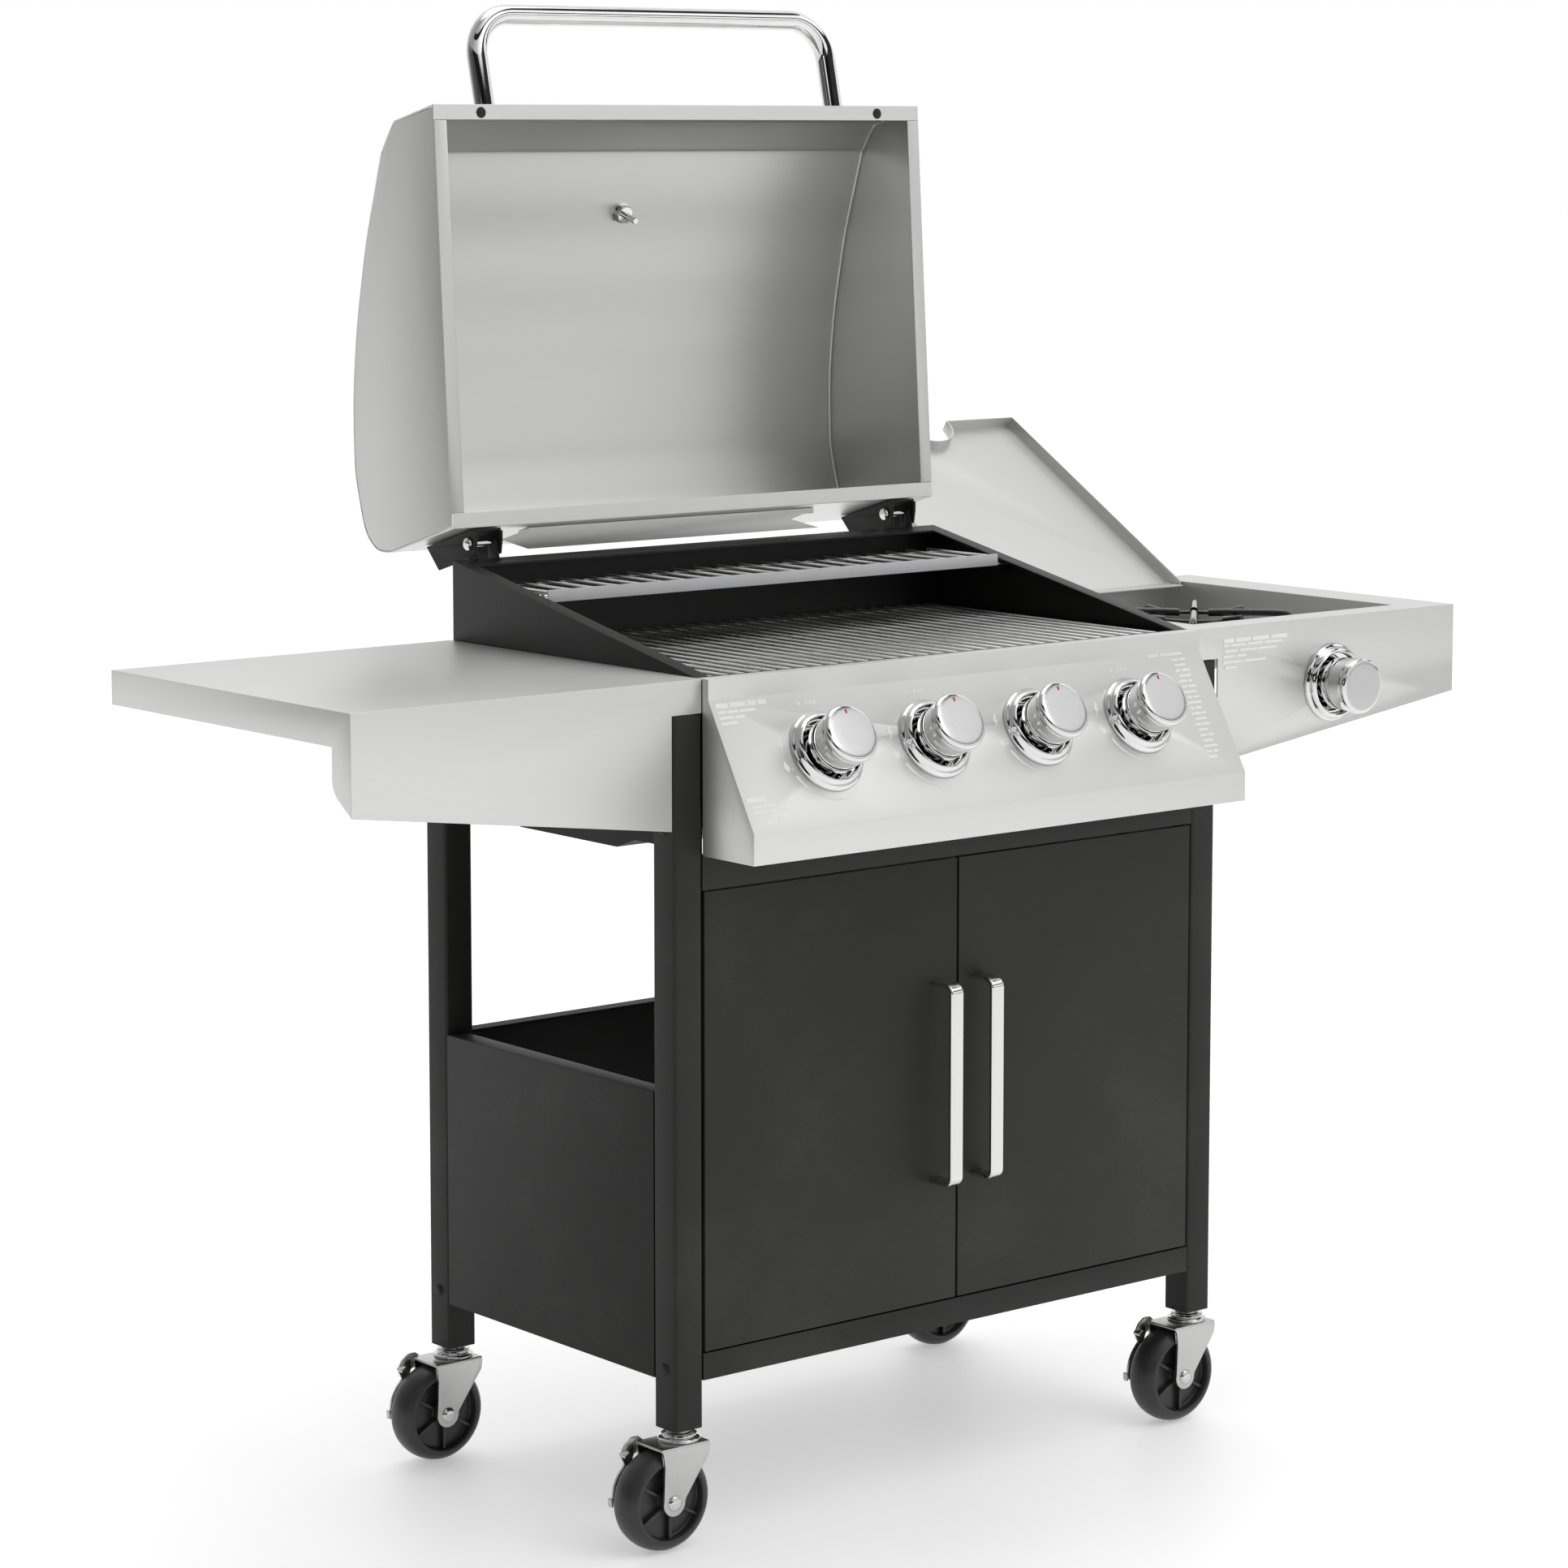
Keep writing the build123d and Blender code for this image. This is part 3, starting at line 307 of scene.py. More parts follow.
def rounded_box(bm, lo, hi, r, segs=3, edges=None):
    """box between two corners (metres) with edges rounded by r mm; edges(v0, v1) may choose"""
    co = [Vector((x, y, z)) for x in (lo.x, hi.x) for y in (lo.y, hi.y) for z in (lo.z, hi.z)]
    vs = [bm.verts.new(c) for c in co]
    q = [(0, 1, 3, 2), (4, 6, 7, 5), (0, 4, 5, 1), (2, 3, 7, 6), (0, 2, 6, 4), (1, 5, 7, 3)]
    fs = [bm.faces.new([vs[i] for i in f]) for f in q]
    es = list({e for f in fs for e in f.edges})
    if edges:
        es = [e for e in es if edges(e.verts[0].co, e.verts[1].co)]
    if r > 0:
        bmesh.ops.bevel(bm, geom=es, offset=r / 1000, segments=segs, profile=0.5, affect="EDGES", clamp_overlap=True)


def prism(bm, poly, vec, r=0.0, segs=2):
    """extrude a planar polygon (list of Vectors) by vec, optional rounding of all edges"""
    base = [bm.verts.new(p) for p in poly]
    top = [bm.verts.new(p + vec) for p in poly]
    fs = [bm.faces.new(base[::-1]), bm.faces.new(top)]
    n = len(poly)
    for i in range(n):
        j = (i + 1) % n
        fs.append(bm.faces.new((base[i], base[j], top[j], top[i])))
    if r > 0:
        es = list({e for f in fs for e in f.edges})
        bmesh.ops.bevel(bm, geom=es, offset=r / 1000, segments=segs, profile=0.5, affect="EDGES", clamp_overlap=True)


def cad(name, mat, bevel=0.45, segs=2, angle=28.0):
    """a carried-over CAD node: welded and edge-rounded by modifiers, with its own material"""
    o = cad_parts[name]
    o.data.materials.clear()
    o.data.materials.append(mat)
    for p in o.data.polygons:
        p.material_index = 0
        p.use_smooth = True
    w = o.modifiers.new("weld", "WELD")
    w.merge_threshold = 0.00001
    d = o.modifiers.new("planar", "DECIMATE")
    d.decimate_type = "DISSOLVE"
    d.angle_limit = math.radians(0.6)
    if bevel:
        b = o.modifiers.new("edge", "BEVEL")
        b.width = bevel / 1000
        b.segments = segs
        b.limit_method = "ANGLE"
        b.angle_limit = math.radians(angle)
        b.harden_normals = True
        b.use_clamp_overlap = True
    return o


# ------------------------------------------------------------------ camera
cam_data = bpy.data.cameras.new("camera")
cam = bpy.data.objects.new("camera", cam_data)
scene.collection.objects.link(cam)
cam_data.sensor_fit = "HORIZONTAL"
cam_data.sensor_width = 36.0
cam_data.lens = 101.155
cam_data.shift_y = -0.1
cam.location = (-2.556, -3.13539, 1.20658)
yaw, pitch = math.radians(39.242), math.radians(6.437)
look = Vector((math.sin(yaw) * math.cos(pitch), math.cos(yaw) * math.cos(pitch), -math.sin(pitch)))
cam.rotation_mode = "QUATERNION"
cam.rotation_quaternion = look.to_track_quat("-Z", "Y")
cam_data.clip_start, cam_data.clip_end = 0.05, 200
scene.camera = cam
scene.view_settings.view_transform = "Standard"

# ------------------------------------------------------------------ stage and light
bm = bmesh.new()
lathe(bm, [(0, 0), (1500, 0), (4000, 0), (12000, 0), (60000, 0)], Vector((0, 0, -0.0004)), (0, 0, 1), 96)
me = bpy.data.meshes.new("floor")
bm.to_mesh(me)
bm.free()
for p in me.polygons:
    p.use_smooth = True
floor = bpy.data.objects.new("floor", me)
scene.collection.objects.link(floor)
fm, fnt, fb = new_mat("floor_paper")
fn = noise(fnt, coord(fnt), 3.0, 3.0, 0.5)
fnt.links.new(ramp(fnt, fn, [(0.3, (0.90, 0.90, 0.90)), (0.7, (0.93, 0.93, 0.93))]), fb.inputs["Base Color"])
fb.inputs["Emission Color"].default_value = (1, 1, 1, 1)
fb.inputs["Emission Strength"].default_value = 0.36
me.materials.append(fm)
floor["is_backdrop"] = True

# studio surroundings by direction: white behind the object, grey on its left, softbox bands and dark gaps in front
world = bpy.data.worlds.new("world")
scene.world = world
world.use_nodes = True
wt = world.node_tree
bg = wt.nodes["Background"]


def wmath(op, a, b=None):
    n = wt.nodes.new("ShaderNodeMath")
    n.operation = op
    for k, v in enumerate((a, b)):
        if v is None:
            continue
        if isinstance(v, (int, float)):
            n.inputs[k].default_value = v
        else:
            wt.links.new(v, n.inputs[k])
    return n.outputs[0]


sep = wt.nodes.new("ShaderNodeSeparateXYZ")
wt.links.new(wt.nodes.new("ShaderNodeTexCoord").outputs["Generated"], sep.inputs[0])
azim = wmath("ARCTAN2", sep.outputs["X"], sep.outputs["Y"])
az01 = wmath("MULTIPLY_ADD", azim, 1 / (2 * math.pi))
az01.node.inputs[2].default_value = 0.5        # 0 at -Y going round by -X ... 0.25 = -X, 0.5 = +Y, 0.75 = +X, 1 = -Y


def deg(d):
    return (d + 180) / 360


G = (1, 1, 1)
low = ramp(wt, az01, [(deg(-180), grey(0.95, G)), (deg(-172), grey(0.90, G)), (deg(-166), grey(0.04, G)),
                      (deg(-130), grey(0.03, G)), (deg(-126), grey(0.85, G)), (deg(-117), grey(0.85, G)),
                      (deg(-113), grey(0.04, G)), (deg(-84), grey(0.08, G)), (deg(-50), grey(0.16, G)),
                      (deg(-14), grey(0.70, G)), (deg(8), grey(1.0, G)), (deg(78), grey(1.0, G)),
                      (deg(90), grey(0.80, G)), (deg(120), grey(1.05, G)), (deg(150), grey(1.15, G)), (deg(179.9), grey(0.95, G))])
high = ramp(wt, az01, [(deg(-180), grey(1.0, G)), (deg(-140), grey(0.5, G)), (deg(-90), grey(0.34, G)), (deg(-30), grey(0.5, G)),
                       (deg(10), grey(1.0, G)), (deg(110), grey(1.0, G)), (deg(179.9), grey(1.1, G))])
# thin dark gaps between the softboxes, away from the white side behind the object
gap = ramp(wt, sep.outputs["Z"], [(0.045, grey(1.05, G)), (0.050, grey(0.02, G)), (0.120, grey(0.02, G)), (0.130, grey(1.15, G)), (0.30, grey(1.15, G)),
                                  (0.31, grey(0.03, G)), (0.42, grey(0.03, G)), (0.44, grey(1.25, G)), (0.68, grey(1.25, G)), (0.69, grey(0.04, G)), (0.80, grey(0.04, G)), (0.82, grey(1.15, G))])
front = ramp(wt, az01, [(deg(-100), grey(1.0, G)), (deg(-80), grey(0.0, G)), (deg(78), grey(0.0, G)), (deg(92), grey(1.0, G))])
el = ramp(wt, sep.outputs["Z"], [(0.30, (0, 0, 0)), (0.45, (1, 1, 1))])
mixc = wt.nodes.new("ShaderNodeMix")
mixc.data_type = "RGBA"
wt.links.new(el, mixc.inputs[0])
wt.links.new(low, mixc.inputs[6])
wt.links.new(high, mixc.inputs[7])
gapmix = wt.nodes.new("ShaderNodeMix")
gapmix.data_type = "RGBA"
gapmix.blend_type = "MULTIPLY"
wt.links.new(front, gapmix.inputs[0])
wt.links.new(mixc.outputs[2], gapmix.inputs[6])
wt.links.new(gap, gapmix.inputs[7])
wt.links.new(gapmix.outputs[2], bg.inputs["Color"])
bg.inputs["Strength"].default_value = 1.0


def area(name, loc, target, size, power, size_y=None, col=(1, 1, 1)):
    ld = bpy.data.lights.new(name, "AREA")
    ld.shape = "RECTANGLE"
    ld.size = size
    ld.size_y = size_y or size
    ld.energy = power
    ld.color = col
    o = bpy.data.objects.new(name, ld)
    scene.collection.objects.link(o)
    o.location = loc
    o.rotation_mode = "QUATERNION"
    o.rotation_quaternion = (Vector(target) - Vector(loc)).to_track_quat("-Z", "Y")
    return o


area("key", (1.6, -3.4, 4.2), (0, 0, 0.7), 2.0, 22, 1.6)
area("top", (0.6, 0.6, 4.6), (0, 0, 0.6), 2.6, 34, 2.2)

# ------------------------------------------------------------------ carried-over CAD nodes
for n, m, b in (
    ("cart_rails", POWDER, 0.5), ("side_panels", POWDER, 0.5), ("back_panel", POWDER, 0.5), ("base_shelf", POWDER, 0.5),
    ("firebox", FIRE, 0.8), ("firebox_hinge_brackets", POWDER, 0.5), ("lid_hinge_brackets", POWDER, 0.5),
    ("left_door", DOOR, 0.45), ("right_door", DOOR, 0.45),
    ("control_panel", STEEL_PANEL, 0.45), ("left_shelf", STEEL_X, 0.45), ("right_shelf", STEEL_X, 0.45),
    ("lid_end_panels", LID_END, 0.5), ("rear_heat_shield", STEEL_X, 0.4),
    ("side_burner_lid", STEEL_X, 0.4), ("heat_tents", BURNER_PAINTED_SHADE, 0.4), ("main_burners", BURNER_PAINTED_SHADE, 0.0),
    ("gas_manifold", GALV, 0.3), ("gas_valves", BRASS, 0.3), ("grease_tray", GALV, 0.4), ("grease_cup", GALV, 0.3),
    ("side_lid_pins", CHROME, 0.3), ("side_burner", CAST, 0.4),
    ("caster_sockets", ZINC, 0.4),
    ("valve_stem_1", BRASS, 0.3), ("valve_stem_2", BRASS, 0.3), ("valve_stem_3", BRASS, 0.3), ("valve_stem_4", BRASS, 0.3),
    ("valve_stem_side", BRASS, 0.3),
):
    cad(n, m, b)

# ------------------------------------------------------------------ legs: rounded square tube
bm = bmesh.new()
for sx in (-1, 1):
    for y0 in (0.0, 336.0):
        xa, xb = sorted((sx * 318.0, sx * 288.0))
        lo, hi = W(xa, y0, -645.1), W(xb, y0 + 30, -30.5)
        rounded_box(bm, lo, hi, 3.2, 4, lambda a, b: abs(a.z - b.z) > 0.1)
legs = bm_obj("legs_tube", bm, POWDER, "cart", 35)
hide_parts("legs")

bm = bmesh.new()
for sx in (-1, 1):
    for x1, x2, y1, y2, z1, z2 in ((280.0, 288.0, 15.6, 17.4, -580.5, -181.0), (285.6, 288.05, 3.0, 12.0, -180.6, -113.0), (285.6, 288.05, 3.0, 12.0, -604.0, -581.4),
                                   (285.6, 288.05, 8.0, 20.0, -113.0, -40.0)):
        xa, xb = sorted((sx * x1, sx * x2))
        rounded_box(bm, W(xa, y1, z1), W(xb, y2, z2), 0.3, 2)
    for y1, y2 in ((28.6, 33.0), (333.0, 337.4)):
        xa, xb = sorted((sx * 313.0, sx * 315.6))
        rounded_box(bm, W(xa, y1, -603.0), W(xb, y2, -356.0), 0.3, 2)
stops = bm_obj("door_stops", bm, RUBBER, "cart", 40)

# ------------------------------------------------------------------ knobs and bezels
SL = math.hypot(61.3, 106.2)
N = Vector((0, -106.2 / SL, 61.3 / SL))
KNOBS = [(x, -36.6, -67.2, N) for x in (-182.7, -60.9, 60.9, 182.7)] + [(472.0, 0.0, -63.0, Vector((0, -1, 0)))]
BODY = ["knob_cap_1", "knob_cap_2", "knob_cap_3", "knob_cap_4", "knob_cap_side"]
NODE = ["knob_1", "knob_2", "knob_3", "knob_4", "knob_side"]
bezels = bmesh.new()
for i, (x, y, z, n) in enumerate(KNOBS):
    o = W(x, y, z)
    prof = [(37.0, 0.25), (37.0, 1.6), (36.7, 2.6), (36.0, 3.3), (35.0, 3.9), (34.4, 4.6), (34.0, 5.6), (33.4, 7.2), (32.5, 8.6), (31.4, 9.6),
            (30.5, 9.95), (29.8, 9.7), (29.3, 9.0), (29.1, 7.8), (29.0, 4.6), (28.6, 3.7), (27.6, 3.3), (20.0, 3.2), (9.2, 3.2), (8.6, 3.0), (8.3, 2.4), (8.3, 0.25)]
    close_lathe(bezels, lathe(bezels, prof, o, n, 96))
    bm = bmesh.new()
    prof = [(0, 41.45), (12, 41.42), (20, 41.3), (23.0, 41.1), (24.3, 40.7), (25.3, 40.1), (26.1, 39.0), (26.5, 37.4), (26.5, 36.4), (26.2, 35.6),
            (25.6, 35.2), (25.2, 34.9), (25.1, 34.2), (25.2, 33.6), (25.6, 33.2), (25.7, 32.4), (25.5, 30.0), (25.2, 24.0), (24.8, 18.0), (24.6, 16.2),
            (24.9, 15.6), (24.9, 14.2), (24.6, 13.6), (24.5, 10.4), (24.2, 9.5), (23.4, 9.1), (22.4, 9.1), (21.7, 9.6), (21.5, 12.0), (21.5, 33.0), (21.2, 33.4),
            (8.0, 33.4), (8.0, 14.4), (7.6, 14.0), (4.55, 14.0), (4.55, 16.4), (3.05, 16.4), (3.05, 33.4), (0, 33.4)]
    lathe(bm, prof, o, n, 96, lambda k: 1 if k < 3 else 0)
    kn = bm_obj("knob_body_%d" % (i + 1), bm, [CHROME, KNOB_FACE], BODY[i], 30)
    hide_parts(NODE[i])
    if i < 4:
        u, v, w = basis(n)
        up = Vector((0, N.z, -N.y))      # up the sloping face
        bm = bmesh.new()
        c = o + n * 0.04138 + up * 0.0195
        ring = []
        for k in range(20):
            a = 2 * math.pi * k / 20
            ring.append(c + Vector((1, 0, 0)) * 0.0011 * math.cos(a) + up * 0.0022 * math.sin(a))
        prism(bm, ring, n * 0.0001)
        d = bm_obj("knob_mark_%d" % (i + 1), bm, RED, BODY[i], 30)
bz = bm_obj("knob_bezel_rings", bezels, CHROME, "cart", 30)
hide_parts("knob_bezels")

# printed marks round the knobs: off dot, spark, flame and the tapering flow crescent; plain bars for the text
UP = Vector((0, N.z, -N.y))
RX = Vector((1, 0, 0))
marks = bmesh.new()


def flat(pts, c, lift=0.00004, t=0.00008):
    prism(marks, [c + RX * (p[0] / 1000) + UP * (p[1] / 1000) + N * lift for p in pts], N * t)


for x in (-182.7, -60.9, 60.9, 182.7):
    c = W(x, -36.6, -67.2)
    flat([(-12 + 1.7 * math.cos(a), 46.0 + 1.7 * math.sin(a)) for a in [2 * math.pi * k / 14 for k in range(14)]], c)
    for k in range(3):
        flat([(-4.6 + k * 4.2, 44.4), (-1.6 + k * 4.2, 44.4), (-1.6 + k * 4.2, 47.6), (-4.6 + k * 4.2, 47.6)], c)
    # spark
    flat([(-45.5, 17.0), (-48.6, 9.8), (-46.2, 9.8), (-48.8, 2.4), (-43.0, 11.6), (-45.2, 11.6), (-43.2, 17.0)], c)
    # flame outline
    fl = [(-47.5, -14.0), (-50.0, -11.0), (-49.6, -7.6), (-47.6, -3.2), (-46.8, -7.0), (-45.0, -8.2), (-44.2, -11.4), (-45.6, -14.0)]
    flat(fl, c)
    flat([(-42.8, -12.6), (-40.4, -12.6), (-40.4, -11.4), (-42.8, -11.4)], c)
    # crescent, wide at its flame end and running out under the knob
    a0, a1, nn = math.radians(205), math.radians(282), 30
    out, inn = [], []
    for k in range(nn + 1):
        t = k / nn
        a = a0 + (a1 - a0) * t
        wd = 2.6 * (1 - t) + 0.3
        out.append(((44.2 + wd / 2) * math.cos(a), (44.2 + wd / 2) * math.sin(a)))
        inn.append(((44.2 - wd / 2) * math.cos(a), (44.2 - wd / 2) * math.sin(a)))
    for k in range(nn):
        flat([out[k], out[k + 1], inn[k + 1], inn[k]], c)


def rows(c, x0, s0, widths, pitch, h, slant=0.0):
    for i, wds in enumerate(widths):
        s1 = s0 - i * pitch
        xx = x0 - slant * i
        for a, b in wds:
            flat([(xx + a, s1 - h), (xx + b, s1 - h), (xx + b, s1), (xx + a, s1)], c)


c = W(0, -36.6, -67.2)
rows(c, -282.0, 53.5, [[(0, 13), (15, 32), (34, 43), (45, 54)]], 1, 4.4)
rows(c, -282.0, 46.4, [[(0, 9), (10, 22), (23.5, 40)], [(0, 15), (16.5, 27)], [(0, 17)]], 5.2, 2.4)
rows(c, -283.0, -33.0, [[(0, 20)]], 1, 4.6)
rows(c, -280.0, -40.5, [[(0, 10), (11.5, 26), (27.5, 36)], [(0, 14), (15.5, 25), (26.5, 38)], [(2, 12), (13.5, 33)], [(0, 8), (9.5, 22), (23.5, 35)]], 5.0, 2.4)
rows(c, 222.0, 58.0, [[(0, 13), (15, 42)]], 1, 3.6)
rows(c, 249.0, 51.0, [[(0, 8), (9.5, 17)], [(1, 15)], [(0, 6), (7.5, 18)], [(2, 17)], [(0, 10), (11.5, 16)], [(1, 7), (8.5, 18)], [(0, 16)], [(2, 9), (10.5, 17)],
                      [(0, 18)], [(1, 6), (7.5, 15)], [(0, 12), (13.5, 18)], [(2, 16)], [(0, 7), (8.5, 17)], [(1, 13)], [(0, 9), (10.5, 18)], [(2, 14)], [(0, 17)],
                      [(1, 8), (9.5, 16)], [(0, 12)]], 5.4, 2.2)
pm = bm_obj("panel_marks", marks, PRINT, "cart", None)
marks = bmesh.new()
for i, wds in enumerate([[(0, 14), (16, 36), (38, 60), (62, 84)], [(0, 8), (9.5, 30), (31.5, 52), (53.5, 78)], [(2, 20), (21.5, 44), (45.5, 70)], [(0, 16), (17.5, 30)], [(0, 26), (27.5, 56)], [(2, 18)]]):
    z1, hh = -11.5 - i * 5.2, (4.0 if i == 0 else 2.3)
    for a, b in wds:
        q = W(327.0 + a, -0.26, z1)
        prism(marks, [q, q + RX * ((b - a) / 1000), q + RX * ((b - a) / 1000) - Vector((0, 0, hh / 1000)), q - Vector((0, 0, hh / 1000))], Vector((0, -0.00008, 0)))
bm_obj("apron_marks", marks, PRINT, "cart", None)

# ------------------------------------------------------------------ lid: wrapped sheet, end panels with a bead in the corner
LID_OUT = [(388.7, 480.9), (451.3, 466.1), (460.7, 454.7), (470.2, 440.9), (474.2, 433.3), (485.6, 398.0), (498.7, 356.7), (508.2, 315.0),
           (515.1, 279.8), (519.3, 248.0), (522.0, 218.3), (522.7, 187.7), (522.1, 163.0), (520.6, 141.9), (515.1, 119.3), (508.2, 96.9),
           (501.4, 84.4), (491.9, 76.0), (483.7, 72.1), (472.9, 71.1), (460.7, 72.4), (364.7, 100.3)]


def spline(pts, n):
    out = []
    for i in range(len(pts) - 1):
        p0, p1, p2, p3 = pts[max(i - 1, 0)], pts[i], pts[i + 1], pts[min(i + 2, len(pts) - 1)]
        if i in (0, len(pts) - 2):
            out += [(p1[0] + (p2[0] - p1[0]) * k / n, p1[1] + (p2[1] - p1[1]) * k / n) for k in range(n)]
            continue
        if i == 1:
            p0 = (p1[0] - 9.0, p1[1] + 4.0)
        if i == len(pts) - 3:
            p3 = (p2[0] - 12.0, p2[1] + 3.5)
        for k in range(n):
            t = k / n
            out.append(tuple(0.5 * (2 * b + (c - a) * t + (2 * a - 5 * b + 4 * c - d) * t * t + (3 * b - a - 3 * c + d) * t ** 3)
                             for a, b, c, d in zip(p0, p1, p2, p3)))
    return out + [pts[-1]]


def offset_line(pts, t):
    out = []
    for i, p in enumerate(pts):
        a, b = pts[max(i - 1, 0)], pts[min(i + 1, len(pts) - 1)]
        dx, dy = b[0] - a[0], b[1] - a[1]
        n = math.hypot(dx, dy)
        out.append((p[0] + dy / n * t, p[1] - dx / n * t))
    return out


fine = spline(LID_OUT, 5)
LT = 1.5
inner_line = offset_line(fine, LT)
mid = (430.0, 280.0)
if math.dist(inner_line[40], mid) > math.dist(fine[40], mid):
    inner_line = offset_line(fine, -LT)
RU = Vector((0, 24.0, 380.6)).normalized()      # along the rim, upwards
RN = Vector((0, 380.6, -24.0)).normalized()     # into the lid
top_w, bot_w = Vector((0, *fine[0])), Vector((0, *fine[-1]))
# closed outline: outer face, lower lip, inner face, upper lip
loop = [Vector((0, *q)) for q in fine]
loop += [bot_w + RU * 14.0, bot_w + RU * 14.0 + RN * LT, bot_w + RU * 3.0 + RN * LT]
loop += [Vector((0, *q)) for q in inner_line[::-1]][1:-1]
loop += [top_w - RU * 3.0 + RN * LT, top_w - RU * 14.0 + RN * LT, top_w - RU * 14.0]
bm = bmesh.new()
XS = [-287.0, -286.6, -285.6, -270.0] + [-220.0 + 40.0 * k for k in range(12)] + [270.0, 285.6, 286.6, 287.0]
grid = [[bm.verts.new(W(x, q.y, q.z)) for q in loop] for x in XS]
nl = len(loop)
for a, b in zip(grid, grid[1:]):
    for i in range(nl):
        j = (i + 1) % nl
        bm.faces.new((a[i], a[j], b[j], b[i]))
n1 = len(fine)
for col in (grid[0], grid[-1]):
    bm.faces.new(col if col is grid[-1] else col[::-1])
shell = bm_obj("lid_sheet", bm, LID_STEEL, "main_lid", 30)
bv = shell.modifiers.new("edge", "BEVEL")
bv.width, bv.segments, bv.limit_method, bv.angle_limit = 0.0006, 2, "ANGLE", math.radians(40)
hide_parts("lid_shell")
bm = bmesh.new()
bead = [W(0, q[0], q[1]) for q in offset_line(fine, (LT + 1.2) * (1 if inner_line[40] == offset_line(fine, LT)[40] else -1))][4:-6]
for sx in (-1, 1):
    rings = []
    for i, p in enumerate(bead):
        d = (bead[min(i + 1, len(bead) - 1)] - bead[max(i - 1, 0)]).normalized()
        nn = d.cross(Vector((1, 0, 0)))
        c = p + Vector((sx * 0.2846, 0, 0))
        rings.append([bm.verts.new(c + (nn * math.cos(t) + Vector((1, 0, 0)) * math.sin(t)) * 0.0017) for t in (2 * math.pi * k / 10 for k in range(10))])
    for a, b in zip(rings, rings[1:]):
        for i in range(10):
            j = (i + 1) % 10
            bm.faces.new((a[i], a[j], b[j], b[i]))
    bm.faces.new(rings[0][::-1])
    bm.faces.new(rings[-1])
bm_obj("lid_corner_beads", bm, LID_STEEL, "main_lid", 60)

# ------------------------------------------------------------------ lid handle
u = Vector((0, 0.2289, 0.9734)).normalized()
F = W(0, 421.0, 473.26)


def hp(x, d):
    return F + Vector((x / 1000, 0, 0)) + u * (d / 1000)


path, rb = [], 40.0
path.append(hp(-207, 0.3))
for k in range(0, 13):
    a = math.pi / 2 * k / 12
    path.append(hp(-207 + rb - rb * math.cos(a), 92 - rb + rb * math.sin(a)))
for k in range(1, 8):
    path.append(hp(-207 + rb + (414 - 2 * rb) * k / 8, 92))
for k in range(0, 13):
    a = math.pi / 2 * k / 12
    path.append(hp(207 - rb + rb * math.sin(a), 92 - rb + rb * math.cos(a)))
path.append(hp(207, 0.3))


def sweep(bm, path, r, segs=28, side=None):
    rings = []
    n = len(path)
    for i, p in enumerate(path):
        d = (path[min(i + 1, n - 1)] - path[max(i - 1, 0)]).normalized()
        s = side if side is not None else Vector((0, 0, 1))
        s = (s - d * s.dot(d)).normalized()
        t = d.cross(s)
        rings.append([bm.verts.new(p + (s * math.cos(a) + t * math.sin(a)) * r / 1000) for a in (2 * math.pi * k / segs for k in range(segs))])
    for a, b in zip(rings, rings[1:]):
        for i in range(segs):
            j = (i + 1) % segs
            bm.faces.new((a[i], a[j], b[j], b[i]))
    bm.faces.new(rings[0][::-1])
    bm.faces.new(rings[-1])


bm = bmesh.new()
sweep(bm, path, 9.6, 32, u.cross(Vector((1, 0, 0))))
hd = bm_obj("lid_handle_tube", bm, CHROME, "main_lid", 40)
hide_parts("lid_handle")
bm = bmesh.new()
for x in (-207, 207):
    lathe(bm, [(0, 0.2), (13.2, 0.2), (13.4, 0.8), (13.0, 1.8), (11.4, 2.6), (10.4, 3.4), (9.7, 4.8), (9.65, 5.6), (0, 5.6)], hp(x, 0), u, 48)
bm_obj("lid_handle_collars", bm, CHROME, "main_lid", 40)

# ------------------------------------------------------------------ cooking grate and warming rack
bm = bmesh.new()
GX = 276.0
for y in (16.0, 354.0, 128.0, 242.0):
    tube_rod(bm, W(-GX, y, -9.3), W(GX, y, -9.3), 2.6, 14)
for i in range(32):
    x = -GX + 5.5 + i * (2 * GX - 11) / 31
    tube_rod(bm, W(x, 14.0, -5.2), W(x, 356.0, -5.2), 2.3, 16)
g = bm_obj("cooking_grate_rods", bm, WIRE, "cart", 40)
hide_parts("cooking_grate")
bm = bmesh.new()
for y in (262.0, 342.0):
    tube_rod(bm, W(-274, y, 46.0), W(274, y, 46.0), 2.4, 14)
for i in range(21):
    x = -262 + i * 524 / 20
    tube_rod(bm, W(x, 246.8, 50.2), W(x, 344.0, 50.2), 2.2, 12)
for sx in (-1, 1):
    tube_rod(bm, W(sx * 267, 246.8, 44.6), W(sx * 267, 345.0, 44.6), 2.5, 12)
    for ya, yb in ((246.2, 258.0), (334.0, 346.0)):
        xa, xb = sorted((sx * 264.0, sx * 280.0))
        rounded_box(bm, W(xa, ya, 42.2), W(xb, yb, 44.2), 0.5, 2)
g = bm_obj("warming_rack_wires", bm, WIRE_BRIGHT, "cart", 40)
bm = bmesh.new()
rounded_box(bm, W(-267, 246.0, 42.2), W(267, 247.6, 53.4), 0.5, 2)
bm_obj("warming_rack_strip", bm, RACK_STRIP, "cart", 40)
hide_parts("warming_rack")

# ------------------------------------------------------------------ side burner
SB = W(454.0, 168.0, 0)
Z = Vector((0, 0, 1))
bm = bmesh.new()
lathe(bm, [(0, -17.0), (14, -17.05), (22, -17.5), (26.0, -18.4), (28.6, -20.0), (29.3, -21.6), (28.8, -23.6), (27.6, -24.8), (24, -25.0), (24, -30), (0, -30)], SB, Z, 72)
o = bm_obj("burner_cap", bm, ENAMEL, "cart", 40)
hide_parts("side_burner_cap")
bm = bmesh.new()
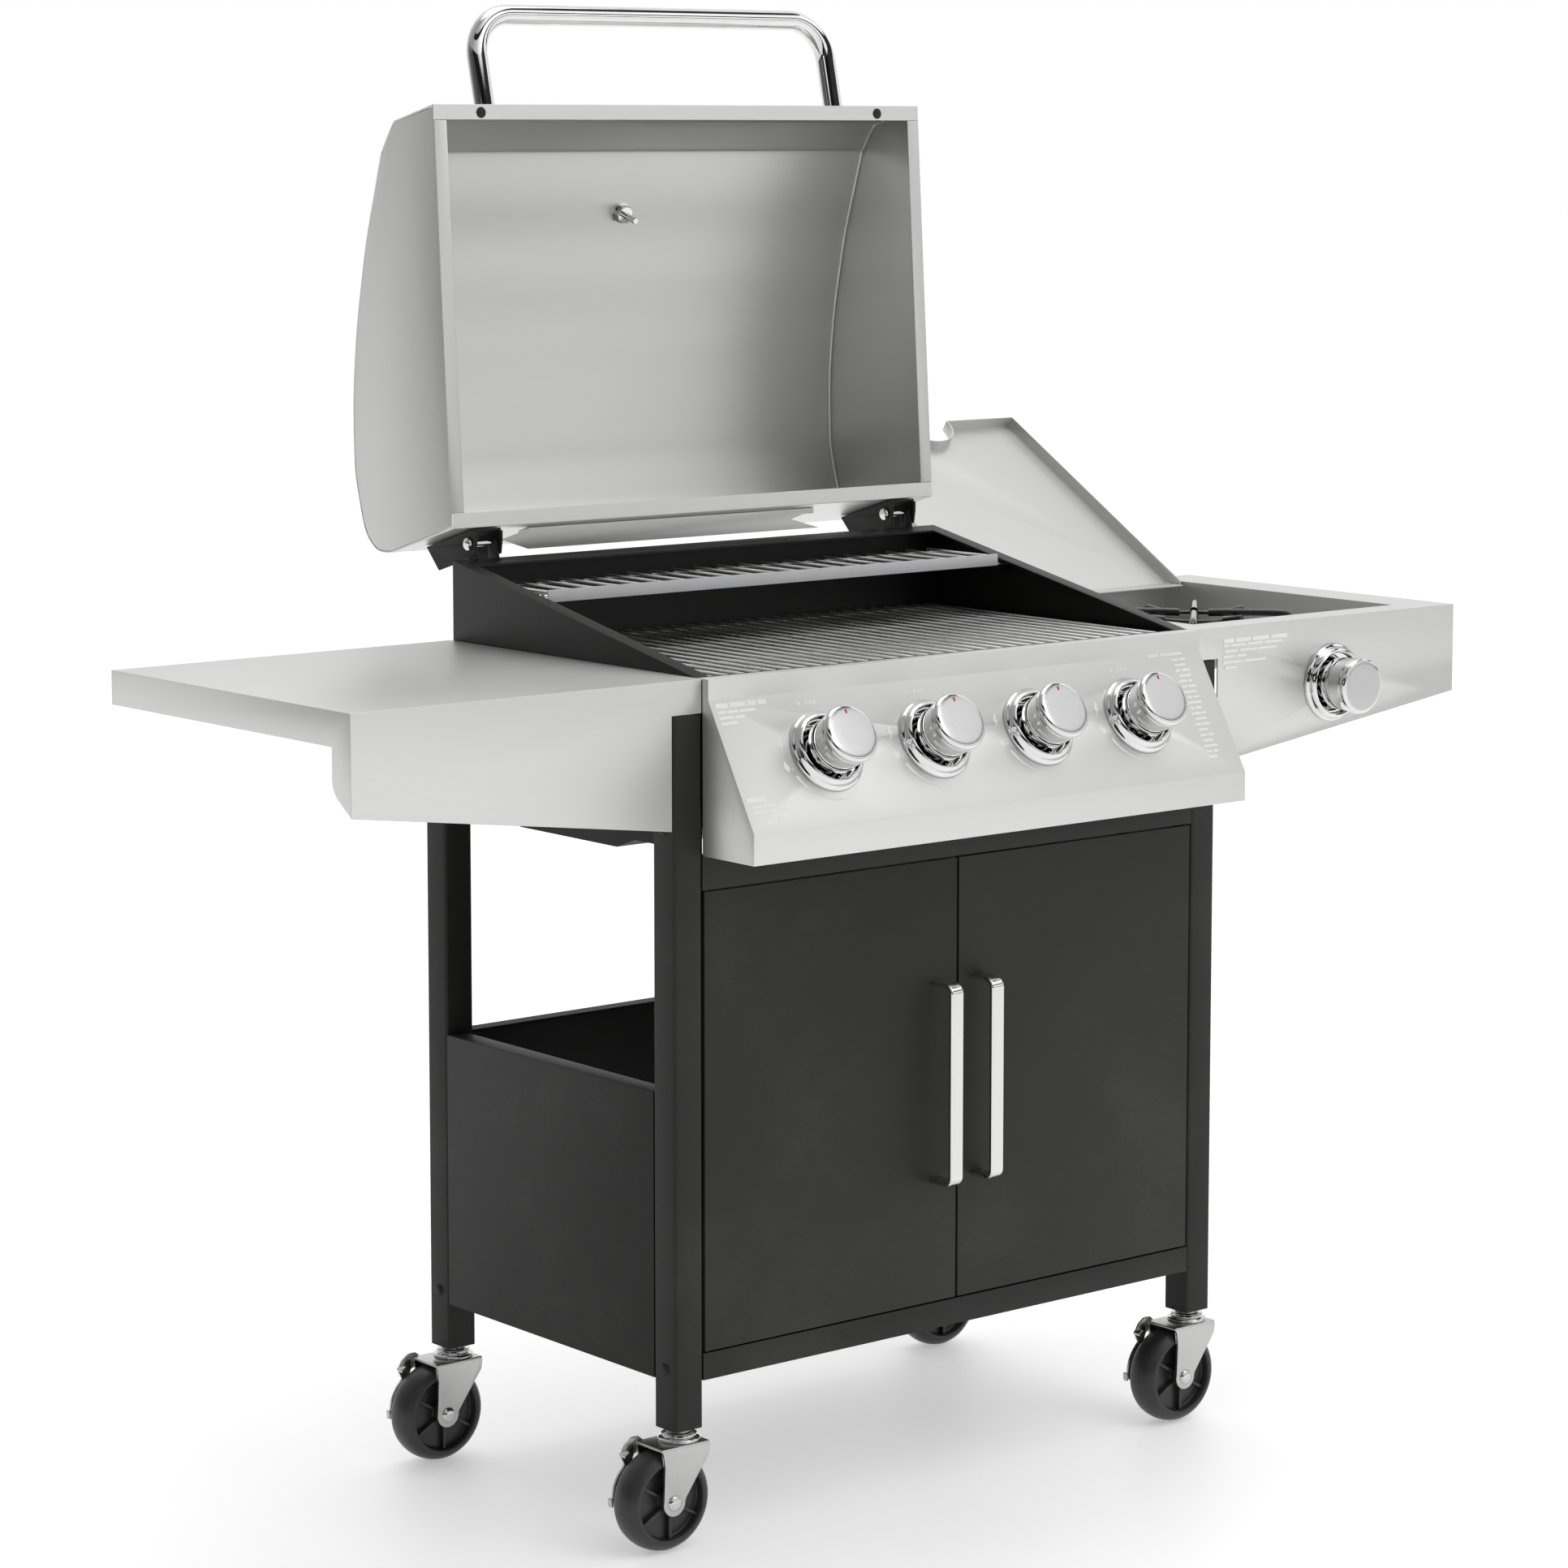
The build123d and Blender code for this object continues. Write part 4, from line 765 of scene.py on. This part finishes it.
# ring and arms of the trivet
ring_prof = [(41.5 + 2.5 * math.cos(a), -14.1 + 2.1 * math.sin(a)) for a in [2 * math.pi * k / 12 for k in range(12)]]
close_lathe(bm, lathe(bm, ring_prof, SB, Z, 72))
for k in range(4):
    a = math.radians(45 + 90 * k)
    d = Vector((math.cos(a), math.sin(a), 0))

    def P(r, z):
        return SB + d * (r / 1000) + Vector((0, 0, z / 1000))
    pts = [P(14, -9.5), P(30, -9.2), P(50, -9.2), P(70, -9.2), P(84, -9.4), P(90, -10.4), P(94, -13.0), P(97, -18.0), P(101, -26.0), P(105, -33.5), P(106, -36.0)]
    sweep(bm, pts, 3.8, 16, d.cross(Z))
    lathe(bm, [(0, -38.0), (4.0, -38.0), (4.2, -37.4), (4.2, -35), (3.2, -33.6), (0, -33.6)], SB + d * 0.106, Z, 20)
for k in range(4):
    a = math.radians(90 * k)
    d = Vector((math.cos(a), math.sin(a), 0))
    tube_rod(bm, SB + d * 0.041 + Vector((0, 0, -0.013)), SB + d * 0.066 + Vector((0, 0, -0.0095)), 3.0, 14)
o = bm_obj("trivet", bm, ENAMEL, "cart", 40)
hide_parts("side_burner_grate")
# polished drip dish round the burner, lying on the well's floor
bm = bmesh.new()
dish = [(34.5, -35.0), (40.0, -35.0), (43.0, -35.8), (60.0, -37.2), (78.0, -37.6), (84.0, -36.6), (86.0, -36.4), (87.0, -36.9), (86.6, -37.6), (34.5, -37.9)]
close_lathe(bm, lathe(bm, dish, SB, Z, 96))
bm_obj("drip_dish", bm, CHROME, "cart", 40)

# ------------------------------------------------------------------ door handles
for name, sx, body in (("left_door_handle", -1, "left_door_leaf"), ("right_door_handle", 1, "right_door_leaf")):
    x = sx * 24.0
    bm = bmesh.new()
    # strip bent back to the door: (y, z) of its outer face, then stations of a rounded section
    outer, inner = [], []
    for r, d, res in ((10.0, 0.0, outer), (5.5, 4.5, inner)):
        res.append((-0.3, -288.6 - d))
        res.append((-9.0, -288.6 - d))
        for k in range(13):
            t = math.radians(90 * k / 12)
            res.append((-28.0 + d + r - r * math.sin(t), -288.6 - d - r + r * math.cos(t)))
        for z in (-320.0, -350.0):
            res.append((-28.0 + d, z))
        res.extend([(y, -760.6 - z) for y, z in res[::-1]])
    sec = [(-7.2, 0.75), (-7.2, 0.30), (-6.8, 0.12), (-6.0, 0.02), (-4.4, 0.0), (0.0, 0.0), (4.4, 0.0), (6.0, 0.02), (6.8, 0.12), (7.2, 0.30), (7.2, 0.75), (6.8, 0.93), (5.8, 1.0), (-5.8, 1.0), (-6.8, 0.93)]
    rings = []
    for (yo, zo), (yi, zi) in zip(outer, inner):
        rings.append([bm.verts.new(W(x + a, yo + (yi - yo) * t, zo + (zi - zo) * t)) for a, t in sec])
    ns = len(sec)
    for q, (a, b) in enumerate(zip(rings, rings[1:])):
        for i in range(ns):
            j = (i + 1) % ns
            f = bm.faces.new((a[i], a[j], b[j], b[i]))
            if 3 <= i <= 6 and 14 <= q <= len(rings) - 16:
                f.material_index = 1
    bm.faces.new(rings[0][::-1])
    bm.faces.new(rings[-1])
    o = bm_obj(name + "_strip", bm, [CHROME, STEEL_Z], body, 50)
    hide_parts(name)

# ------------------------------------------------------------------ thermometer
TN = Vector((0, 0.9526, 0.3043)).normalized()
T0 = W(0, 491.5, 379.3)
bm = bmesh.new()
prof = [(2.6, -26.0), (3.1, -25.4), (3.1, -9.2), (8.0, -9.0), (8.0, -2.4), (10.0, -2.2), (10.0, 0.3), (30.0, 0.4), (36.4, 0.5), (37.0, 1.2), (37.0, 8.6), (36.4, 10.4),
        (35.0, 12.6), (34.2, 13.7), (33.4, 14.0), (32.4, 13.7), (31.6, 12.8), (31.3, 11.8), (0, 11.7)]
lathe(bm, [(0, -26.0)] + prof, T0, TN, 72)
o = bm_obj("thermometer_case", bm, CHROME, "main_lid", 35)
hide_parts("lid_thermometer")
bm = bmesh.new()
lathe(bm, [(0, 12.0), (31.0, 12.0), (31.0, 11.75), (0, 11.75)], T0, TN, 72)
bm_obj("thermometer_dial", bm, DIAL, "main_lid", 35)
bm = bmesh.new()
TU = Vector((1, 0, 0))
TV = TN.cross(TU)
for k in range(21):
    a = math.radians(225 - 270 * k / 20)
    r0, r1, wd = (22.5, 28.5, 0.9) if k % 5 == 0 else (25.5, 28.5, 0.5)
    e, f = -TU * math.cos(a) + -TV * math.sin(a), -TU * -math.sin(a) + -TV * math.cos(a)
    c = T0 + TN * 0.01202
    prism(bm, [c + e * (r0 / 1000) - f * (wd / 2000), c + e * (r1 / 1000) - f * (wd / 2000), c + e * (r1 / 1000) + f * (wd / 2000), c + e * (r0 / 1000) + f * (wd / 2000)], TN * 0.0001)
e = (-TU * math.cos(math.radians(225)) - TV * math.sin(math.radians(225)))
f = TN.cross(e)
c = T0 + TN * 0.0123
prism(bm, [c - e * 0.006 - f * 0.0012, c + e * 0.021, c - e * 0.006 + f * 0.0012], TN * 0.0003)
lathe(bm, [(0, 12.9), (2.2, 12.8), (2.8, 12.2), (2.8, 12.0), (0, 12.0)], T0, TN, 24)
bm_obj("thermometer_marks", bm, INK, "main_lid", 35)
# hex nut on the stud inside
bm = bmesh.new()
U2, V2, _ = basis(TN)
hexa = [T0 - TN * 0.0088 + (U2 * math.cos(math.pi / 3 * k) + V2 * math.sin(math.pi / 3 * k)) * 0.0092 for k in range(6)]
prism(bm, hexa, TN * 0.0062, 0.5, 2)
bm_obj("thermometer_nut", bm, ZINC, "main_lid", 35)

# ------------------------------------------------------------------ lid bumpers in the upper rim
RT = W(0, 388.7, 480.9)
RU = Vector((0, 24.0, 380.6)).normalized()
RNV = Vector((0, RU.z, -RU.y))
bm = bmesh.new()
for x in (-235.0, 234.5):
    c = RT - RU * 0.0075 + Vector((x / 1000, 0, 0))
    lathe(bm, [(0, -0.1), (4.2, -0.1), (4.9, 0.15), (5.0, 0.45), (4.4, 0.85), (3.0, 1.05), (0, 1.15)], c, -RNV, 28)
bm_obj("lid_bumper_studs", bm, RUBBER, "main_lid", 40)

# ------------------------------------------------------------------ castor wheels
for k, (cx, cy) in {"front_left": (-303.0, 15.0), "front_right": (303.0, 15.0), "rear_left": (-303.0, 351.0), "rear_right": (303.0, 351.0)}.items():
    ax = cx - 19.5
    o0 = W(ax, cy, -704.5)
    bm = bmesh.new()
    half = [(4.05, 16.4), (8.4, 16.4), (9.0, 15.9), (9.2, 14.0), (9.4, 8.6), (10.0, 8.0), (31.7, 8.0), (32.5, 8.6), (32.8, 10.0), (33.3, 15.0), (34.0, 15.9),
            (35.0, 16.3), (36.6, 16.1), (38.8, 14.9), (41.1, 12.6), (42.8, 9.8), (43.8, 6.4), (44.35, 3.0), (44.5, 0.0)]
    prof = half + [(r, -h) for r, h in half[-2::-1]]
    close_lathe(bm, lathe(bm, prof, o0, (0, 1, 0), 80))
    for s in (-1, 1):
        for j in range(6):
            a = math.radians(30 + 60 * j)
            e = Vector((math.cos(a), 0, math.sin(a)))
            f = Vector((-math.sin(a), 0, math.cos(a)))
            b0 = o0 + Vector((0, s * 0.0078, 0))
            poly = [b0 + e * 0.0085 - f * 0.0014, b0 + e * 0.0332 - f * 0.0014, b0 + e * 0.0332 + f * 0.0014, b0 + e * 0.0085 + f * 0.0014]
            prism(bm, poly, Vector((0, s * 0.0052, 0)), 0.5, 2)
    o = bm_obj("castor_wheel_" + k, bm, PLASTIC, "roller_" + k, 35)
    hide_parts("wheel_" + k)

# ------------------------------------------------------------------ castor forks: rounded plates, dish, rings and rivets
for k, (cx, cy) in {"front_left": (-303.0, 15.0), "front_right": (303.0, 15.0), "rear_left": (-303.0, 351.0), "rear_right": (303.0, 351.0)}.items():
    ax, az = cx - 19.5, -704.5
    out = [(cx + 18.4, -657.4), (cx + 18.9, -660.0), (cx + 17.6, -668.0)]
    out += [(ax + 11.6 * math.cos(math.radians(a)), az + 11.6 * math.sin(math.radians(a))) for a in range(14, -195, -13)]
    out += [(ax - 10.2, -672.0), (ax - 10.6, -664.0), (ax - 12.0, -660.0), (ax - 12.6, -657.4)]
    bm = bmesh.new()
    for y in (cy - 19.5, cy + 17.0):
        prism(bm, [W(x, y, z) for x, z in out], Vector((0, 0.0025, 0)), 0.6, 3)
    rounded_box(bm, W(ax - 13.6, cy - 19.4, -658.7), W(cx + 18.8, cy + 19.4, -656.0), 1.1, 3)
    fork = bm_obj("castor_fork_" + k, bm, ZINC, "fork_" + k, 40)
    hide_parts("caster_fork_" + k)
    bm = bmesh.new()
    for sy, y in ((-1, cy - 19.5), (1, cy + 19.5)):
        lathe(bm, [(0, 3.0), (2.4, 2.95), (4.6, 2.5), (6.2, 1.6), (6.9, 0.6), (7.0, 0.02), (0, 0.02)], W(ax, y, az), (0, sy, 0), 36)
    tube_rod(bm, W(ax, cy - 19.0, az), W(ax, cy + 19.0, az), 3.9, 24)
    lathe(bm, [(6.1, -6.9), (17.2, -6.9), (18.2, -6.6), (18.5, -6.0), (18.4, -5.0), (17.8, -4.2), (16.6, -3.6), (15.4, -3.2), (14.8, -2.6), (14.9, -1.9), (15.4, -1.3),
               (15.3, -0.7), (14.4, -0.3), (12.0, -0.05), (6.1, 0.0)], W(cx, cy, -649.0), (0, 0, 1), 56)
    bm_obj("castor_swivel_" + k, bm, CHROME_DARK, "fork_" + k, 40)

# ------------------------------------------------------------------ brake levers
for k, (cx, cy) in {"front_left": (-303.0, 15.0), "front_right": (303.0, 15.0), "rear_left": (-303.0, 351.0), "rear_right": (303.0, 351.0)}.items():
    ax, az, bx, bz = cx - 19.5, -704.5, cx - 29.5, -659.5

    def polar(r, dg):
        return (ax + r * math.cos(math.radians(dg)), az + r * math.sin(math.radians(dg)))

    arm = [(bx + 6, bz - 5), (bx + 6.3, bz - 1), (bx + 6, bz + 3), (bx + 2, bz + 6.2), (bx - 2, bz + 6.5), (bx - 6, bz + 6), (bx - 13, bz + 1), (bx - 17, bz - 6)]
    arm += [polar(36.5, a) for a in range(128, 191, 6)] + [polar(31.0, a) for a in range(190, 121, -6)] + [(bx - 4, bz - 8)]
    bm = bmesh.new()
    prism(bm, [W(x, cy + 20.2, z) for x, z in arm], Vector((0, 0.0022, 0)), 0.5, 2)
    lathe(bm, [(0, 25.6), (3.0, 25.6), (4.2, 25.0), (4.6, 24.2), (4.6, 22.5), (0, 22.5)], W(bx, cy, bz), (0, 1, 0), 24)
    o = bm_obj("brake_plate_" + k, bm, ZINC, "brake_" + k, 40)
    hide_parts("brake_lever_" + k)
    bm = bmesh.new()
    prism(bm, [W(q[0], cy + 20.6, q[1]) for q in (polar(37.8, 178), polar(37.8, 190), polar(35.6, 190), polar(35.6, 178))], Vector((0, 0.0053, 0)), 0.7, 3)
    prism(bm, [W(q[0], cy + 14.0, q[1]) for q in (polar(45.2, 119), polar(45.2, 127), polar(48.2, 126), polar(48.2, 119))], Vector((0, 0.0084, 0)), 0.7, 3)
    prism(bm, [W(q[0], cy + 20.25, q[1]) for q in (polar(35.0, 130), polar(48.3, 126), polar(48.3, 119), polar(35.0, 122))], Vector((0, 0.0021, 0)), 0.5, 2)
    bm_obj("brake_pads_" + k, bm, ZINC, "brake_" + k, 40)

# ------------------------------------------------------------------ screws and pins
bm = bmesh.new()
for sx in (-1, 1):
    for y in (15.0, 351.0):
        for z in (-127.0, -592.5):
            lathe(bm, [(0, 2.3), (2.2, 2.3), (4.0, 1.8), (4.8, 0.9), (5.0, 0.05), (0, 0.05)], W(sx * 318.0, y, z), (sx, 0, 0), 32)
    for z in (-127.0, -592.5):
        lathe(bm, [(0, 2.3), (2.2, 2.3), (4.0, 1.8), (4.8, 0.9), (5.0, 0.05), (0, 0.05)], W(sx * 303.0, 366.0, z), (0, 1, 0), 32)
o = bm_obj("frame_screws", bm, POWDER, "cart", 40)
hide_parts("fasteners")
bm = bmesh.new()
for cx in (-248.0, 248.0):
    c = W(cx, 373.0, 85.0)
    lathe(bm, [(0, -19.0), (3.4, -19.0), (5.2, -18.2), (6.0, -16.8), (6.0, -15.6), (3.0, -15.4), (3.0, 15.6), (5.0, 15.6), (5.0, 17.4), (4.0, 18.0), (0, 18.0)], c, (1, 0, 0), 32)
o = bm_obj("hinge_pin_rivets", bm, CHROME, "cart", 40)
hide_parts("lid_hinge_pins")

# ------------------------------------------------------------------ backdrop: plain and pale where it is seen straight on
wnt = world.node_tree
wout = [n for n in wnt.nodes if n.type == "OUTPUT_WORLD"][0]
wsrc = wout.inputs["Surface"].links[0].from_socket
wlp = wnt.nodes.new("ShaderNodeLightPath")
wpl = wnt.nodes.new("ShaderNodeBackground")
wpl.inputs["Color"].default_value = (1, 1, 1, 1)
wpl.inputs["Strength"].default_value = 1.0
wmx = wnt.nodes.new("ShaderNodeMixShader")
wnt.links.new(wlp.outputs["Is Camera Ray"], wmx.inputs[0])
wnt.links.new(wsrc, wmx.inputs[1])
wnt.links.new(wpl.outputs[0], wmx.inputs[2])
wnt.links.new(wmx.outputs[0], wout.inputs["Surface"])

# ------------------------------------------------------------------ sizes
lo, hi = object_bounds()
